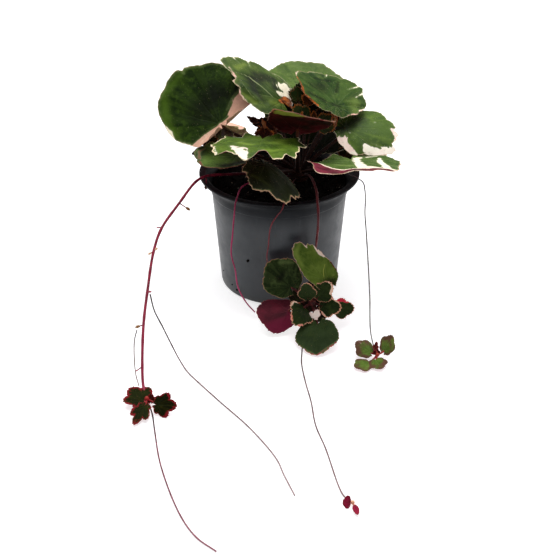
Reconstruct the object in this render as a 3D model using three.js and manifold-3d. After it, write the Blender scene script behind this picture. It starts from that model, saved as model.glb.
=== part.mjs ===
// Potted tricolor strawberry begonia: a rosette of round scalloped leaves in a thin plastic pot, with
// thread-like runners that hang over the lip and carry young plantlets. Millimetres, +Z up, origin in the
// middle of the pot's underside.
import * as THREE from "three";
import { mergeVertices } from "three/addons/utils/BufferGeometryUtils.js";
import Module from "manifold-3d";

const wasm = await Module();
wasm.setup();

// Pot
const potHeight = 91;
const baseRadius = 46;
const stepRadius = 51; // the wall just below the shallow step line
const stepZ = 76;
const stepDepth = 0.6;
const bandRadius = stepRadius + stepDepth + 0.4; // the wall above the step, where it starts to flare
const bandTop = potHeight - 8;
const flareRadius = 55; // where the wall turns out into the lip
const flareZ = potHeight - 4;
const lipRadius = 60;
const lipThickness = 1.4;
const wall = 1.3;
const floorThickness = 2;
const drainRadius = 4;
const drainRing = 31; // the drain holes' distance from the axis
const drainCount = 6;
const drainSides = 10;
const potSides = 48;

// Soil and crown
const soilTop = 84;
const soilRelief = 0.8;
const soilEdgeDrop = 1; // how far the soil sinks towards the wall
const soilSides = 24;
const clearance = 0.3; // between pieces that touch
const crownX = 14;
const crownY = 2;
const crownRadius = 8;
const crownRise = 7; // how far the crown stands out of the soil
const crownDepth = 14; // and how far it goes down into it
const crownSides = 14;

// Leaves and stems
const bladeThickness = 0.8;
const smallThickness = 0.7;
const stalkRadius = 1.3;
const youngStalk = 0.8;
const youngRadius = 12; // blades smaller than this have the thin stalk
const valleySoftness = 0.15; // rounds the bottom of a fold, as a share of the blade's radius
const thickRunner = 1;
const thinRunner = 0.45;
const budStalk = 0.4;

const degree = Math.PI / 180;

const colours = {
  pot: { color: 0x3e474d, roughness: 0.5, metalness: 0 },
  soil: { color: 0x15110d, roughness: 1, metalness: 0 },
  blade: { color: 0x3c5a2c, roughness: 0.6, metalness: 0 },
  stalk: { color: 0x5a1d16, roughness: 0.5, metalness: 0 },
  runner: { color: 0x7c1730, roughness: 0.5, metalness: 0 },
  plantlet: { color: 0x37502b, roughness: 0.6, metalness: 0 },
};

const part = new THREE.Group();

function addMesh(name, geometry, finish) {
  const mesh = new THREE.Mesh(geometry, new THREE.MeshStandardMaterial(colours[finish]));
  mesh.name = name;
  part.add(mesh);
}

// Closed geometry to a solid, and back.
function solidOf(geometry) {
  const bare = geometry.clone();
  bare.deleteAttribute("normal");
  bare.deleteAttribute("uv");
  const merged = mergeVertices(bare, 1e-3);
  return new wasm.Manifold(
    new wasm.Mesh({
      numProp: 3,
      vertProperties: merged.attributes.position.array,
      triVerts: new Uint32Array(merged.index.array),
    }),
  );
}

function geometryOf(solid) {
  const mesh = solid.getMesh();
  return new THREE.BufferGeometry()
    .setAttribute("position", new THREE.BufferAttribute(mesh.vertProperties, 3))
    .setIndex(new THREE.BufferAttribute(mesh.triVerts, 1));
}

function union(geometries) {
  return geometries.map(solidOf).reduce((whole, next) => whole.add(next));
}

// Turns a profile of [radius, height] pairs about the Z axis.
function turned(profile, sides) {
  const points = profile.map(([radius, z]) => new THREE.Vector2(radius, z));
  return new THREE.LatheGeometry(points, sides).rotateX(Math.PI / 2);
}

// A few-sided tube along a curve.
function tube(curve, radius, steps, sides) {
  const section = new THREE.Shape();
  for (let side = 0; side < sides; side++) {
    const turn = (2 * Math.PI * side) / sides;
    const method = side === 0 ? "moveTo" : "lineTo";
    section[method](radius * Math.cos(turn), radius * Math.sin(turn));
  }
  section.closePath();
  return new THREE.ExtrudeGeometry(section, { steps, extrudePath: curve, bevelEnabled: false });
}

// Rolls a strip onto a cylinder: a positive curvature lets both of its ends droop.
function bend(along, height, curvature) {
  if (Math.abs(curvature) < 1e-6) return [along, height];
  const radius = 1 / curvature;
  const turn = along * curvature;
  return [(radius + height) * Math.sin(turn), (radius + height) * Math.cos(turn) - radius];
}

const bladeDefaults = {
  width: 1,
  offset: 0.62, // how far the outline's centre lies from the stalk, as a share of the radius
  lobes: 10,
  notch: 0.08,
  sinus: 18, // half the angle of the cut at the stalk, in degrees
  valley: 0,
  across: 0,
  along: 0,
  back: 0, // a bend of its own for the lobes behind the stalk
  twist: 0,
  wave: 0,
  waves: 5,
  phase: 0,
  thickness: bladeThickness,
  rings: [0.4, 0.75, 1],
  stepsPerLobe: 4,
};
const hiddenBlade = { rings: [0.5, 1], stepsPerLobe: 3 };
const smallBlade = { lobes: 7, rings: [0.55, 1], stepsPerLobe: 3, thickness: smallThickness };
const tinyBlade = { ...smallBlade, rings: [1] };
const lobedBlade = { ...tinyBlade, stepsPerLobe: 4, notch: 0.26 };

// A point of a blade in its own frame, in millimetres: x across, y towards the tip, z up from the upper
// face. The flat outline is a circle set off from the stalk, cut into rounded lobes. Relief is added to it
// (a fold along the midrib, a twist and a waved edge), and then it is bent across and along.
function bladePoint(b, angle, share, depth) {
  const circle = b.offset * Math.cos(angle) + Math.sqrt(1 - (b.offset * Math.sin(angle)) ** 2);
  const lobe = Math.abs(Math.cos((b.lobes * angle) / 2));
  const reach = share * circle * (1 - b.notch * (1 - lobe));
  const x = b.width * reach * Math.sin(angle);
  const y = reach * Math.cos(angle);
  const relief =
    b.valley * (Math.hypot(x, valleySoftness) - valleySoftness) +
    b.twist * x * y +
    b.wave * share ** 3 * Math.cos(b.waves * angle + b.phase * degree);
  const [bentX, heightX] = bend(x, relief - depth / b.radius, b.across);
  const [bentY, heightY] = bend(y, heightX, y < 0 && b.back ? b.back : b.along);
  return new THREE.Vector3(bentX, bentY, heightY).multiplyScalar(b.radius);
}

// The blade's frame from the compass heading of its tip, the tip's rise and the roll about the midrib.
function bladeFrame(b) {
  const heading = b.heading * degree;
  const rise = b.rise * degree;
  const roll = b.roll * degree;
  const level = new THREE.Vector3(Math.cos(heading), Math.sin(heading), 0);
  const tip = level.clone().multiplyScalar(Math.cos(rise)).setZ(Math.sin(rise));
  const up = level.clone().multiplyScalar(-Math.sin(rise)).setZ(Math.cos(rise));
  const side = new THREE.Vector3().crossVectors(tip, up);
  const normal = up.clone().multiplyScalar(Math.cos(roll)).addScaledVector(side, Math.sin(roll));
  const across = new THREE.Vector3().crossVectors(tip, normal);
  return { tip, normal, across, at: new THREE.Vector3(...b.at) };
}

// A blade as a closed sheet: rings of points on the upper and the lower face, split alike, and a rim.
function blade(given) {
  const b = { ...bladeDefaults, ...given };
  const frame = bladeFrame(b);
  const half = Math.round(((180 - b.sinus) * b.stepsPerLobe * b.lobes) / 360);
  const columns = 2 * half;
  const step = (2 * Math.PI) / (b.lobes * b.stepsPerLobe);
  const positions = [];
  const place = (angle, share, depth) => {
    const p = bladePoint(b, angle, share, depth);
    const world = frame.at.clone().addScaledVector(frame.across, p.x);
    world.addScaledVector(frame.tip, p.y).addScaledVector(frame.normal, p.z);
    positions.push(world.x, world.y, world.z);
  };
  for (const depth of [0, b.thickness]) {
    place(0, 0, depth);
    for (const share of b.rings) {
      for (let column = 0; column <= columns; column++) place((column - half) * step, share, depth);
    }
  }
  const rowLength = columns + 1;
  const faceSize = 1 + b.rings.length * rowLength;
  const index = [];
  const at = (ring, column) => 1 + ring * rowLength + column;
  const addBoth = (p, q, r) => index.push(p, q, r, p + faceSize, r + faceSize, q + faceSize);
  for (let column = 0; column < columns; column++) {
    addBoth(0, at(0, column + 1), at(0, column));
    for (let ring = 0; ring + 1 < b.rings.length; ring++) {
      addBoth(at(ring, column), at(ring, column + 1), at(ring + 1, column + 1));
      addBoth(at(ring, column), at(ring + 1, column + 1), at(ring + 1, column));
    }
  }
  const last = b.rings.length - 1;
  const edge = [0];
  for (let ring = 0; ring < last; ring++) edge.push(at(ring, columns));
  for (let column = columns; column >= 0; column--) edge.push(at(last, column));
  for (let ring = last - 1; ring >= 0; ring--) edge.push(at(ring, 0));
  edge.forEach((p, i) => {
    const q = edge[(i + 1) % edge.length];
    index.push(p, p + faceSize, q + faceSize, p, q + faceSize, q);
  });
  return new THREE.BufferGeometry()
    .setAttribute("position", new THREE.Float32BufferAttribute(positions, 3))
    .setIndex(index);
}

// The mother plant's blades: where the stalk meets the blade, where the tip points, and the shape.
const leaves = {
  leaf_left_large: {
    at: [-42, -10, 131], heading: 131, rise: 23, roll: -35, radius: 33,
    along: -0.25, back: -5, twist: -0.1, lobes: 11, notch: 0.04,
  },
  leaf_top_folded: {
    at: [2, 6, 142], heading: 168, rise: 46, roll: -12, radius: 30,
    width: 0.85, across: 0.35, along: 0.25, wave: 0.06, waves: 4, phase: 35, lobes: 9,
  },
  leaf_back_dome: {
    at: [18, 37, 140], heading: 75, rise: -8, roll: 15, radius: 33,
    along: -0.3, lobes: 11, notch: 0.03,
  },
  leaf_right_funnel: {
    at: [41, 0, 141], heading: 100, rise: 25, roll: 18, radius: 28,
    across: 0.15, along: 0.25, valley: 0.14, wave: -0.03, waves: 4, phase: 40, lobes: 9,
  },
  leaf_right_cream: {
    at: [48, -5, 126], heading: 0, rise: 0, roll: 27, radius: 23,
    across: 0.4, along: 0.1, lobes: 9,
  },
  leaf_right_low: {
    at: [50, -30, 112], heading: -88, rise: 9, roll: 4, radius: 32,
    across: -0.15, along: -0.13, wave: 0.06, phase: 60, lobes: 11,
  },
  leaf_front_bright: {
    at: [-12, -24, 125], heading: -95, rise: 7, roll: 0, radius: 34,
    wave: 0.04, waves: 8, phase: 22, lobes: 11, notch: 0.11,
  },
  leaf_left_low: {
    at: [-31, -22, 111], heading: -142, rise: -7, roll: -5, radius: 19,
    across: -0.5, along: -0.2,
  },
  leaf_front_hanging: {
    at: [-10, -42, 114], heading: -60, rise: -5, roll: -20, radius: 25,
    width: 0.9, across: 0.7, along: 0.35, lobes: 9, notch: 0.11,
  },
  leaf_left_dark: {
    ...hiddenBlade,
    at: [-40, 5, 106], heading: -158, rise: -1, roll: 7, radius: 16, lobes: 9,
  },
  leaf_left_small: {
    ...smallBlade,
    at: [-42.5, -16.7, 123.2], heading: 27, rise: 10, roll: 35, radius: 6.6,
  },
  leaf_young_front: {
    at: [13, -10, 127], heading: -81, rise: 43, roll: -8, radius: 24,
    across: -0.2, along: 0.2, twist: 0.1, lobes: 9,
  },
  leaf_young_middle: {
    ...smallBlade,
    at: [18, 2, 129], heading: 154, rise: 55, roll: -52, radius: 8, notch: 0.16,
  },
  leaf_young_right: {
    ...smallBlade,
    at: [30, -2, 125], heading: 5, rise: 44, roll: 54, radius: 8, notch: 0.16,
  },
  leaf_young_left: {
    ...smallBlade,
    at: [-3, 0, 124], heading: 180, rise: 10, roll: 70, radius: 10, notch: 0.14,
  },
  leaf_back_left: {
    ...hiddenBlade,
    at: [-37, 26, 108], heading: 140, rise: 2, roll: 5, radius: 25,
  },
  leaf_back_right: {
    ...hiddenBlade,
    at: [34, 23, 101.5], heading: 42, rise: 22, roll: -4, radius: 25,
  },
  leaf_back_middle: {
    ...hiddenBlade,
    at: [12, 30, 105], heading: 95, rise: 42, roll: 0, radius: 24,
  },
  leaf_right_back: {
    ...hiddenBlade,
    at: [56, 16, 102], heading: 4, rise: -8, roll: 4, radius: 17, lobes: 9,
  },
};

for (const [name, leaf] of Object.entries(leaves)) addMesh(name, blade(leaf), "blade");

// A leaf stalk: it leaves the crown upwards and meets the blade's underside square on.
function stalkCurve(leaf) {
  const { normal, at } = bladeFrame(leaf);
  const end = at.clone().addScaledVector(normal, -(leaf.thickness ?? bladeThickness) - clearance);
  const root = new THREE.Vector3(crownX, crownY, soilTop + crownRise / 2);
  const run = end.clone().sub(root);
  const outward = new THREE.Vector3(run.x, run.y, 0).setLength(crownRadius * 0.4);
  root.add(outward);
  const leave = root.clone().add(outward).add(new THREE.Vector3(0, 0, 0.35 * run.z));
  const arrive = end.clone().addScaledVector(normal, -0.22 * run.length());
  return new THREE.CubicBezierCurve3(root, leave, arrive, end);
}

// Crown: a turned stub in the soil with every leaf stalk sunk into it, grown as one piece.
function crown() {
  const profile = [
    [0, soilTop - crownDepth],
    [crownRadius * 0.8, soilTop - crownDepth + 2],
    [crownRadius, soilTop],
    [crownRadius * 0.9, soilTop + crownRise * 0.6],
    [crownRadius * 0.4, soilTop + crownRise],
    [0, soilTop + crownRise],
  ];
  const stub = turned(profile, crownSides).translate(crownX, crownY, 0);
  const stalks = Object.values(leaves).map((leaf) => {
    const radius = leaf.radius < youngRadius ? youngStalk : stalkRadius;
    return tube(stalkCurve(leaf), radius, 7, 5);
  });
  return geometryOf(union([stub, ...stalks]));
}

addMesh("crown", crown(), "stalk");

// Pot: one turned shell with a thin lip, and drain holes through its floor.
function pot() {
  const profile = [
    [0, 0],
    [baseRadius, 0],
    [stepRadius, stepZ],
    [stepRadius + stepDepth, stepZ + stepDepth],
    [bandRadius, bandTop],
    [flareRadius, flareZ],
    [lipRadius, potHeight - lipThickness],
    [lipRadius, potHeight],
    [flareRadius, potHeight],
    [bandRadius - wall, bandTop + lipThickness],
    [stepRadius - wall, stepZ],
    [baseRadius - wall, floorThickness],
    [0, floorThickness],
  ];
  let shell = solidOf(turned(profile, potSides));
  for (let hole = 0; hole < drainCount; hole++) {
    const turn = ((hole + 0.5) * 2 * Math.PI) / drainCount;
    const drill = new THREE.CylinderGeometry(drainRadius, drainRadius, 3 * floorThickness, drainSides);
    drill.rotateX(Math.PI / 2);
    drill.translate(drainRing * Math.cos(turn), drainRing * Math.sin(turn), floorThickness / 2);
    shell = shell.subtract(solidOf(drill));
  }
  return geometryOf(shell);
}

addMesh("pot", pot(), "pot");

// Soil: fills the pot to a little under the lip, lumpy on top, with a plain hole for the crown.
function soil() {
  const slope = (stepRadius - baseRadius) / stepZ;
  const inside = (z) => baseRadius + slope * z - wall - clearance;
  const bottom = floorThickness + clearance;
  const edge = inside(soilTop - soilEdgeDrop);
  const topRings = [1, 0.85, 0.7, 0.54, 0.36, 0.18, 0].map((share) => [
    edge * share,
    soilTop - soilEdgeDrop * share ** 4,
  ]);
  const profile = [[0, bottom], [inside(bottom), bottom], [inside(stepZ), stepZ], ...topRings];
  const mass = turned(profile, soilSides);
  mass.deleteAttribute("normal");
  mass.deleteAttribute("uv");
  const lumpy = mergeVertices(mass, 1e-3);
  const place = lumpy.attributes.position;
  for (let i = 0; i < place.count; i++) {
    const x = place.getX(i);
    const y = place.getY(i);
    const onTop = place.getZ(i) > soilTop - 1.2 * soilEdgeDrop;
    if (!onTop || Math.hypot(x, y) > 0.95 * edge) continue;
    const lump = Math.sin(0.31 * x + 1.1) * Math.cos(0.27 * y) + 0.6 * Math.sin(0.53 * y - 0.41 * x + 2);
    place.setZ(i, place.getZ(i) + soilRelief * lump);
  }
  const holeRadius = crownRadius + clearance;
  const hole = new THREE.CylinderGeometry(holeRadius, holeRadius, 2 * (crownDepth + clearance), crownSides);
  hole.rotateX(Math.PI / 2).translate(crownX, crownY, soilTop);
  return geometryOf(solidOf(lumpy).subtract(solidOf(hole)));
}

addMesh("soil", soil(), "soil");

// Runners: the points that each one passes through, from the crown or a plantlet to its end.
const runners = {
  runner_left: {
    radius: thickRunner, steps: 26, sides: 6,
    points: [
      [6.1, -0.7, 88], [-15, -9, 92], [-38, -15, 94], [-53, -18, 94], [-60, -25, 93], [-71, -42, 84],
      [-82, -62, 74], [-86, -78, 65], [-88, -104, 49], [-89, -121, 37], [-89, -138, 24], [-88, -152, 11],
      [-86.5, -157, 7.5],
    ],
    // buds and bracts: where each one leaves the runner, its end, and the end's radius
    buds: [
      [[-71, -42, 84], [-65, -43, 80], 1.5],
      [[-81.5, -61, 74.5], [-84.5, -61, 74.5], 0.8],
      [[-86, -78, 65], [-88.5, -79, 64], 1.1],
      [[-86, -78, 65], [-84, -78, 67], 1.1],
      [[-88, -104, 49], [-86.5, -104, 49], 1],
      [[-89, -123, 35.5], [-93, -123, 34], 1.4],
      [[-89, -145, 17.5], [-92, -145, 15], 0.7],
    ],
  },
  runner_left_branch: {
    radius: thinRunner, steps: 26, sides: 4,
    points: [
      [-86.3, -104.3, 47.3], [-84, -107, 36], [-79, -110, 25], [-73, -114, 12], [-68, -119, 4],
      [-62, -128, 0.9], [-53, -140, 0.7], [-38, -159, 0.7], [-18, -184, 0.7], [-2, -210, 0.7],
      [2, -222, 0.7], [8, -238, 0.7],
    ],
  },
  runner_left_thread: {
    radius: 0.35, steps: 10, sides: 4,
    points: [
      [-93.4, -124.6, 32.4], [-94.3, -131, 29], [-94, -138, 23.5], [-92.5, -147, 13.5], [-90, -153, 9],
    ],
  },
  runner_left_tip: {
    radius: thinRunner, steps: 14, sides: 4,
    points: [
      [-82.7, -164.3, 3.6], [-80, -170, 1], [-76.5, -185, 0.7], [-69, -215, 0.7], [-54, -252, 0.7],
      [-44, -267, 0.7], [-33, -276, 0.7],
    ],
  },
  runner_front_left: {
    radius: thinRunner, steps: 24, sides: 4,
    points: [
      [8.9, -4, 88], [-8, -24, 95], [-26, -40, 96], [-29.5, -51.5, 92.4], [-30.5, -55, 90], [-31.5, -56, 82],
      [-33, -56, 67], [-34.5, -56, 51], [-32, -57, 38], [-30, -58, 23], [-24, -60, 11], [-18, -63, 5],
    ],
  },
  runner_front_middle: {
    radius: thinRunner, steps: 22, sides: 4,
    points: [
      [12.7, -5.7, 87.5], [9, -30, 93], [4, -55, 93], [3, -60.5, 92.2], [1.5, -62.8, 89], [-2, -62.5, 84],
      [-6, -62, 76], [-8, -58, 57], [-9, -55, 48], [-8, -53, 40], [0, -54, 30], [10, -62, 24],
    ],
  },
  runner_front_right: {
    radius: 0.9, steps: 22, sides: 6,
    points: [
      [16.7, -5.4, 87.6], [22, -25, 97], [25.5, -45, 96], [26, -57, 92.8], [26.5, -62.5, 87],
      [26.6, -63, 75], [26.5, -58, 66], [26.3, -53, 56], [26, -50, 50], [25, -52, 42], [24, -60, 32],
      [24, -69, 26],
    ],
  },
  runner_right: {
    radius: thinRunner, steps: 24, sides: 4,
    points: [
      [21.4, -0.3, 88], [38, -9, 94], [51, -15, 94], [57.2, -19, 92.5], [60.8, -22, 90.6], [62, -26, 86],
      [62, -32, 81], [61.3, -40, 75], [61.5, -50, 68], [62, -68, 53], [62.4, -88, 35], [62.6, -103, 16],
      [65, -110.8, 6.5],
    ],
  },
  runner_front_tip: {
    radius: thinRunner, steps: 18, sides: 4,
    points: [
      [20, -84, 6], [16.5, -97, 2.5], [15.5, -107, 0.8], [15, -119, 0.7], [17, -139, 0.7], [20, -159, 0.7],
      [22, -181, 0.7], [27, -201, 0.7], [33, -232, 0.7], [35, -238, 0.7], [38.3, -242.6, 1.4],
    ],
  },
};

// A stem through points chosen by hand, with its buds.
function runner({ points, radius, steps, sides, buds = [] }) {
  const path = new THREE.CatmullRomCurve3(points.map((p) => new THREE.Vector3(...p)), false, "centripetal");
  return geometryOf(union([tube(path, radius, steps, sides), ...buds.flatMap(bud)]));
}

// A small bud: a slim stalk that ends in a little pointed body.
function bud([from, to, size]) {
  const start = new THREE.Vector3(...from);
  const end = new THREE.Vector3(...to);
  const along = end.clone().sub(start).normalize();
  const turn = new THREE.Quaternion().setFromUnitVectors(THREE.Object3D.DEFAULT_UP, along);
  const body = new THREE.SphereGeometry(size, 6, 4).scale(0.7, 1.3, 0.7);
  body.applyQuaternion(turn).translate(end.x, end.y, end.z);
  return [tube(new THREE.LineCurve3(start, end), budStalk, 1, 4), body];
}

for (const [name, shape] of Object.entries(runners)) addMesh(name, runner(shape), "runner");

// Plantlets: each one is a short stem with its stalks and blades, grown as one piece.
const plantlets = {
  plantlet_left: {
    stem: [-84, -161, 5], stemRadius: 1.8, stalk: 0.6,
    blades: [
      { ...lobedBlade, at: [-87, -160, 5.5], heading: 132, rise: 14, roll: 0, radius: 9.5, width: 1.05 },
      { ...lobedBlade, at: [-77, -166, 6.5], heading: -10, rise: 10, roll: 50, radius: 8 },
      { ...lobedBlade, at: [-84, -166.5, 5], heading: -110, rise: -12, roll: -5, radius: 9.3, width: 0.8 },
    ],
  },
  plantlet_front: {
    stem: [23, -74, 21], stemRadius: 3, stalk: 0.9,
    blades: [
      {
        ...smallBlade,
        at: [33, -70, 37], heading: 147, rise: 40, roll: -36, radius: 21, width: 0.66, across: -0.2,
      },
      { ...smallBlade, at: [8, -69, 31], heading: 149, rise: 36, roll: -52, radius: 15, along: 0.15 },
      {
        ...smallBlade,
        at: [7, -75, 14], heading: 185, rise: -12, roll: 153, radius: 15, across: -0.6, along: 0.4,
      },
      { at: [17, -79, 19.5], heading: -100, rise: 2, roll: -40, radius: 10, along: 0.5, lobes: 5 },
      { at: [20, -77, 27], heading: 134, rise: 80, roll: -45, radius: 7, lobes: 5 },
      { at: [28, -77, 28], heading: 20, rise: 45, roll: 50, radius: 7.5, lobes: 5 },
      { at: [31, -79, 21], heading: -10, rise: 0, roll: 55, radius: 8, lobes: 5 },
      { at: [41, -74, 15.5], heading: 15, rise: -8, roll: 58, radius: 8.5, width: 0.92, lobes: 5 },
      { ...smallBlade, at: [27, -88, 11.5], heading: -95, rise: -18, roll: 8, radius: 15.5, along: 0.1 },
    ],
  },
  plantlet_right: {
    stem: [67, -113, 3.5], stemRadius: 1.5, stalk: 0.6,
    blades: [
      { at: [62, -112, 5], heading: 150, rise: 23, roll: -19, radius: 7, across: 0.3 },
      { at: [72, -110, 5], heading: 30, rise: 60, roll: 0, radius: 7 },
      { at: [65.5, -117.5, 2.5], heading: -74, rise: 0, roll: 8, radius: 5.6, width: 1.1 },
      { at: [60, -120.5, 1.8], heading: -155, rise: 4, roll: -5, radius: 6.2 },
      { at: [68, -112, 7], heading: 80, rise: 60, roll: 0, radius: 2.6, lobes: 5 },
    ],
  },
  plantlet_tip: {
    stem: [39.5, -244, 1.8], stemRadius: 1.2, stalk: 0.5,
    blades: [
      { at: [37.5, -245.5, 3.4], heading: -170, rise: 10, roll: -60, radius: 3.6, lobes: 5 },
      { at: [40.5, -246.5, 1.8], heading: -70, rise: 0, roll: 0, radius: 3, width: 0.9, lobes: 5 },
    ],
  },
};

function plantlet({ stem, stemRadius, stalk, blades }) {
  const middle = new THREE.Vector3(...stem);
  const stub = new THREE.SphereGeometry(stemRadius, 7, 5).translate(...stem);
  const grown = blades.flatMap((given) => {
    const leaf = { ...tinyBlade, ...given };
    const { normal, at } = bladeFrame(leaf);
    const end = at.clone().addScaledVector(normal, -leaf.thickness / 2);
    const arrive = end.clone().addScaledVector(normal, -0.2 * end.distanceTo(middle));
    return [blade(leaf), tube(new THREE.QuadraticBezierCurve3(middle, arrive, end), stalk, 4, 5)];
  });
  return geometryOf(union([stub, ...grown]));
}

for (const [name, shape] of Object.entries(plantlets)) addMesh(name, plantlet(shape), "plantlet");

export default part;
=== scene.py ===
# Potted tricolor strawberry begonia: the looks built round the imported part, in metres, +Z up.
import math

import bpy
import numpy as np
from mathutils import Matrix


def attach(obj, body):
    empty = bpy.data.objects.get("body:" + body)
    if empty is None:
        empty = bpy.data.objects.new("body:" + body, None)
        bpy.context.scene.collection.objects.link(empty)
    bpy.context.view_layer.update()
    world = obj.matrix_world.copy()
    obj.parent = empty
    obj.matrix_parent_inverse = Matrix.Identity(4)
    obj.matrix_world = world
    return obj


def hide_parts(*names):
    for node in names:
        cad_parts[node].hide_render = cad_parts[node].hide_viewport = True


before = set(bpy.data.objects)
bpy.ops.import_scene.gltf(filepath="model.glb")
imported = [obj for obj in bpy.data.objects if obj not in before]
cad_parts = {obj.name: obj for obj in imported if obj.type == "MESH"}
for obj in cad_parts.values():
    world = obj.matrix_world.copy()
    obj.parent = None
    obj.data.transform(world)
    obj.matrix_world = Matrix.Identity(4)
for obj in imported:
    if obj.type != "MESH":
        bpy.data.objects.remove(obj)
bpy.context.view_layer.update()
mm = 0.001
degree = math.pi / 180
print("frame loaded with", len(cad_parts), "nodes")

# Camera: it looks at the pot's foot from the front and above.
view = {"target": (-0.0021, 0.0, -0.0026), "distance": 0.647, "elevation": 31.4, "lens": 52.0, "sensor": 36.0,
        "near": 0.01, "far": 20}


def addObject(name, data):
    thing = bpy.data.objects.new(name, data)
    bpy.context.scene.collection.objects.link(thing)
    return thing


def addCamera():
    rise = view["elevation"] * degree
    data = bpy.data.cameras.new("camera")
    data.lens, data.sensor_width = view["lens"], view["sensor"]
    data.clip_start, data.clip_end = view["near"], view["far"]
    camera = addObject("camera", data)
    away = np.array([0, -math.cos(rise), math.sin(rise)]) * view["distance"]
    camera.location = np.array(view["target"]) + away
    camera.rotation_euler = (math.pi / 2 - rise, 0, 0)
    bpy.context.scene.camera = camera


addCamera()
print("camera placed")


# Small tools on whole arrays.
def unit(vectors):  # each vector divided by its length
    return vectors / np.maximum(np.linalg.norm(vectors, axis=-1, keepdims=True), 1e-9)


def ease(low, high, value):  # 0 below low, 1 above high, and 3t^2 - 2t^3 between them
    t = np.clip((value - low) / (high - low), 0, 1)
    return t * t * (3 - 2 * t)


def turns(count):  # angles spaced evenly round a full turn
    return np.arange(count) * 2 * math.pi / count


def circle(x, y, radius, height, turn):  # centre plus radius times cosine and sine, level at the height
    return np.stack(np.broadcast_arrays(x + radius * np.cos(turn), y + radius * np.sin(turn), height), -1)


def ringAround(side, other, count):  # unit circles, each spanned by its own two directions
    turn = turns(count)[:, None]
    return side[:, None] * np.cos(turn) + other[:, None] * np.sin(turn)


def ripple(x, y, seed, waves=5):
    # Smooth unrest, mostly between -1 and 1: a sum of sine waves that run in seeded directions.
    rng = np.random.default_rng(seed)
    total = 0
    for turn, phase, pace in rng.uniform((0, 0, 0.7), (6.28, 6.28, 1.6), (waves, 3)):
        total = total + np.sin(pace * (x * math.cos(turn) + y * math.sin(turn)) + phase)
    return total / math.sqrt(waves)


def gridQuads(rows, columns, wrap=False, start=0):
    # Quads of a grid whose columns run counterclockwise seen from outside when its rows go up.
    r, c = np.meshgrid(np.arange(rows - 1), np.arange(columns if wrap else columns - 1), indexing="ij")
    here, nextColumn = r * columns + c, r * columns + (c + 1) % columns
    return start + np.stack([here, nextColumn, nextColumn + columns, here + columns], -1).reshape(-1, 4)


def closedRows(rows, material=0, marks=None):
    # A closed surface from rings of points (row, column, xyz), with a pole at the middle of each end ring.
    count, columns = rows.shape[:2]
    low, high, last = count * columns, count * columns + 1, (count - 1) * columns
    c = np.arange(columns)
    after = (c + 1) % columns
    tris = [np.stack([0 * c + low, after, c], -1), np.stack([0 * c + high, last + c, last + after], -1)]
    capped = lambda v: np.concatenate([v.reshape(-1, *v.shape[2:]), v[:1].mean(1), v[-1:].mean(1)])
    return {"points": capped(rows), "quads": gridQuads(count, columns, True), "tris": np.concatenate(tris),
            "material": material, "marks": {k: capped(v) for k, v in (marks or {}).items()}}


def sweep(path, radii, sides, material=0):
    # A tube: circles of the given radii stand square on the path, turned from one fixed direction.
    tangent = unit(np.gradient(path, axis=0))
    fixed = np.eye(3)[np.abs(tangent).max(0).argmin()]
    side = unit(np.cross(tangent, fixed))
    rows = path[:, None] + ringAround(side, np.cross(tangent, side), sides) * np.asarray(radii)[:, None, None]
    along = np.repeat(np.linspace(0, 1, len(path))[:, None], sides, 1)
    return closedRows(rows, material, {"along": along})


def catmullRom(points, steps):
    # Centripetal curve through the points, then spaced evenly along its length.
    p = np.array(points, float)
    p = np.concatenate([2 * p[:1] - p[1:2], p, 2 * p[-1:] - p[-2:-1]])
    gap = np.linalg.norm(np.diff(p, axis=0), axis=1)[:, None] ** 0.5
    p0, p1, p2, p3 = p[:-3], p[1:-2], p[2:-1], p[3:]
    g0, g1, g2 = gap[:-2], gap[1:-1], gap[2:]
    m1 = ((p1 - p0) / g0 - (p2 - p0) / (g0 + g1) + (p2 - p1) / g1) * g1
    m2 = ((p2 - p1) / g1 - (p3 - p1) / (g1 + g2) + (p3 - p2) / g2) * g1
    t = np.linspace(0, 1, 24, endpoint=False)[:, None, None]
    curve = p1 + m1 * t + (-3 * p1 + 3 * p2 - 2 * m1 - m2) * t**2 + (2 * p1 - 2 * p2 + m1 + m2) * t**3
    curve = np.concatenate([curve.transpose(1, 0, 2).reshape(-1, 3), p[-2:-1]])
    length = np.concatenate([[0], np.cumsum(np.linalg.norm(np.diff(curve, axis=0), axis=1))])
    goal = np.linspace(0, length[-1], steps + 1)
    return np.stack([np.interp(goal, length, curve[:, k]) for k in range(3)], -1)


def bezier(controls, steps):  # Bernstein sum of the control points
    n = len(controls) - 1
    t = np.linspace(0, 1, steps + 1)[:, None]
    return sum(math.comb(n, k) * t**k * (1 - t) ** (n - k) * np.array(p) for k, p in enumerate(controls))


def hairs(roots, aims, length, width, material, seed):
    # Fine hairs: each is a three-sided cone in two steps that bends a little sideways on its way to the tip.
    rng = np.random.default_rng(seed)
    count = len(roots)
    aims = unit(aims)
    side = unit(np.cross(aims, unit(rng.normal(size=(count, 3)))))
    ring = ringAround(side, np.cross(aims, side), 3)
    reach = np.broadcast_to(length, count)[:, None] * rng.uniform(0.6, 1.15, (count, 1))
    bow = side * reach * rng.uniform(-0.25, 0.25, (count, 1))
    low = (roots - aims * width)[:, None] + ring * width / 2
    high = (roots + aims * reach * 0.55 + bow * 0.4)[:, None] + ring * width / 3
    tip = (roots + aims * reach + bow)[:, None]
    points = np.concatenate([low, high, tip], 1)
    base = np.arange(count)[:, None, None] * points.shape[1]
    quads = np.array([[0, 1, 4, 3], [1, 2, 5, 4], [2, 0, 3, 5]]) + base
    tris = np.array([[3, 4, 6], [4, 5, 6], [5, 3, 6], [0, 2, 1]]) + base
    return {"points": points.reshape(-1, 3), "quads": quads.reshape(-1, 4), "tris": tris.reshape(-1, 3),
            "material": material}


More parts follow.
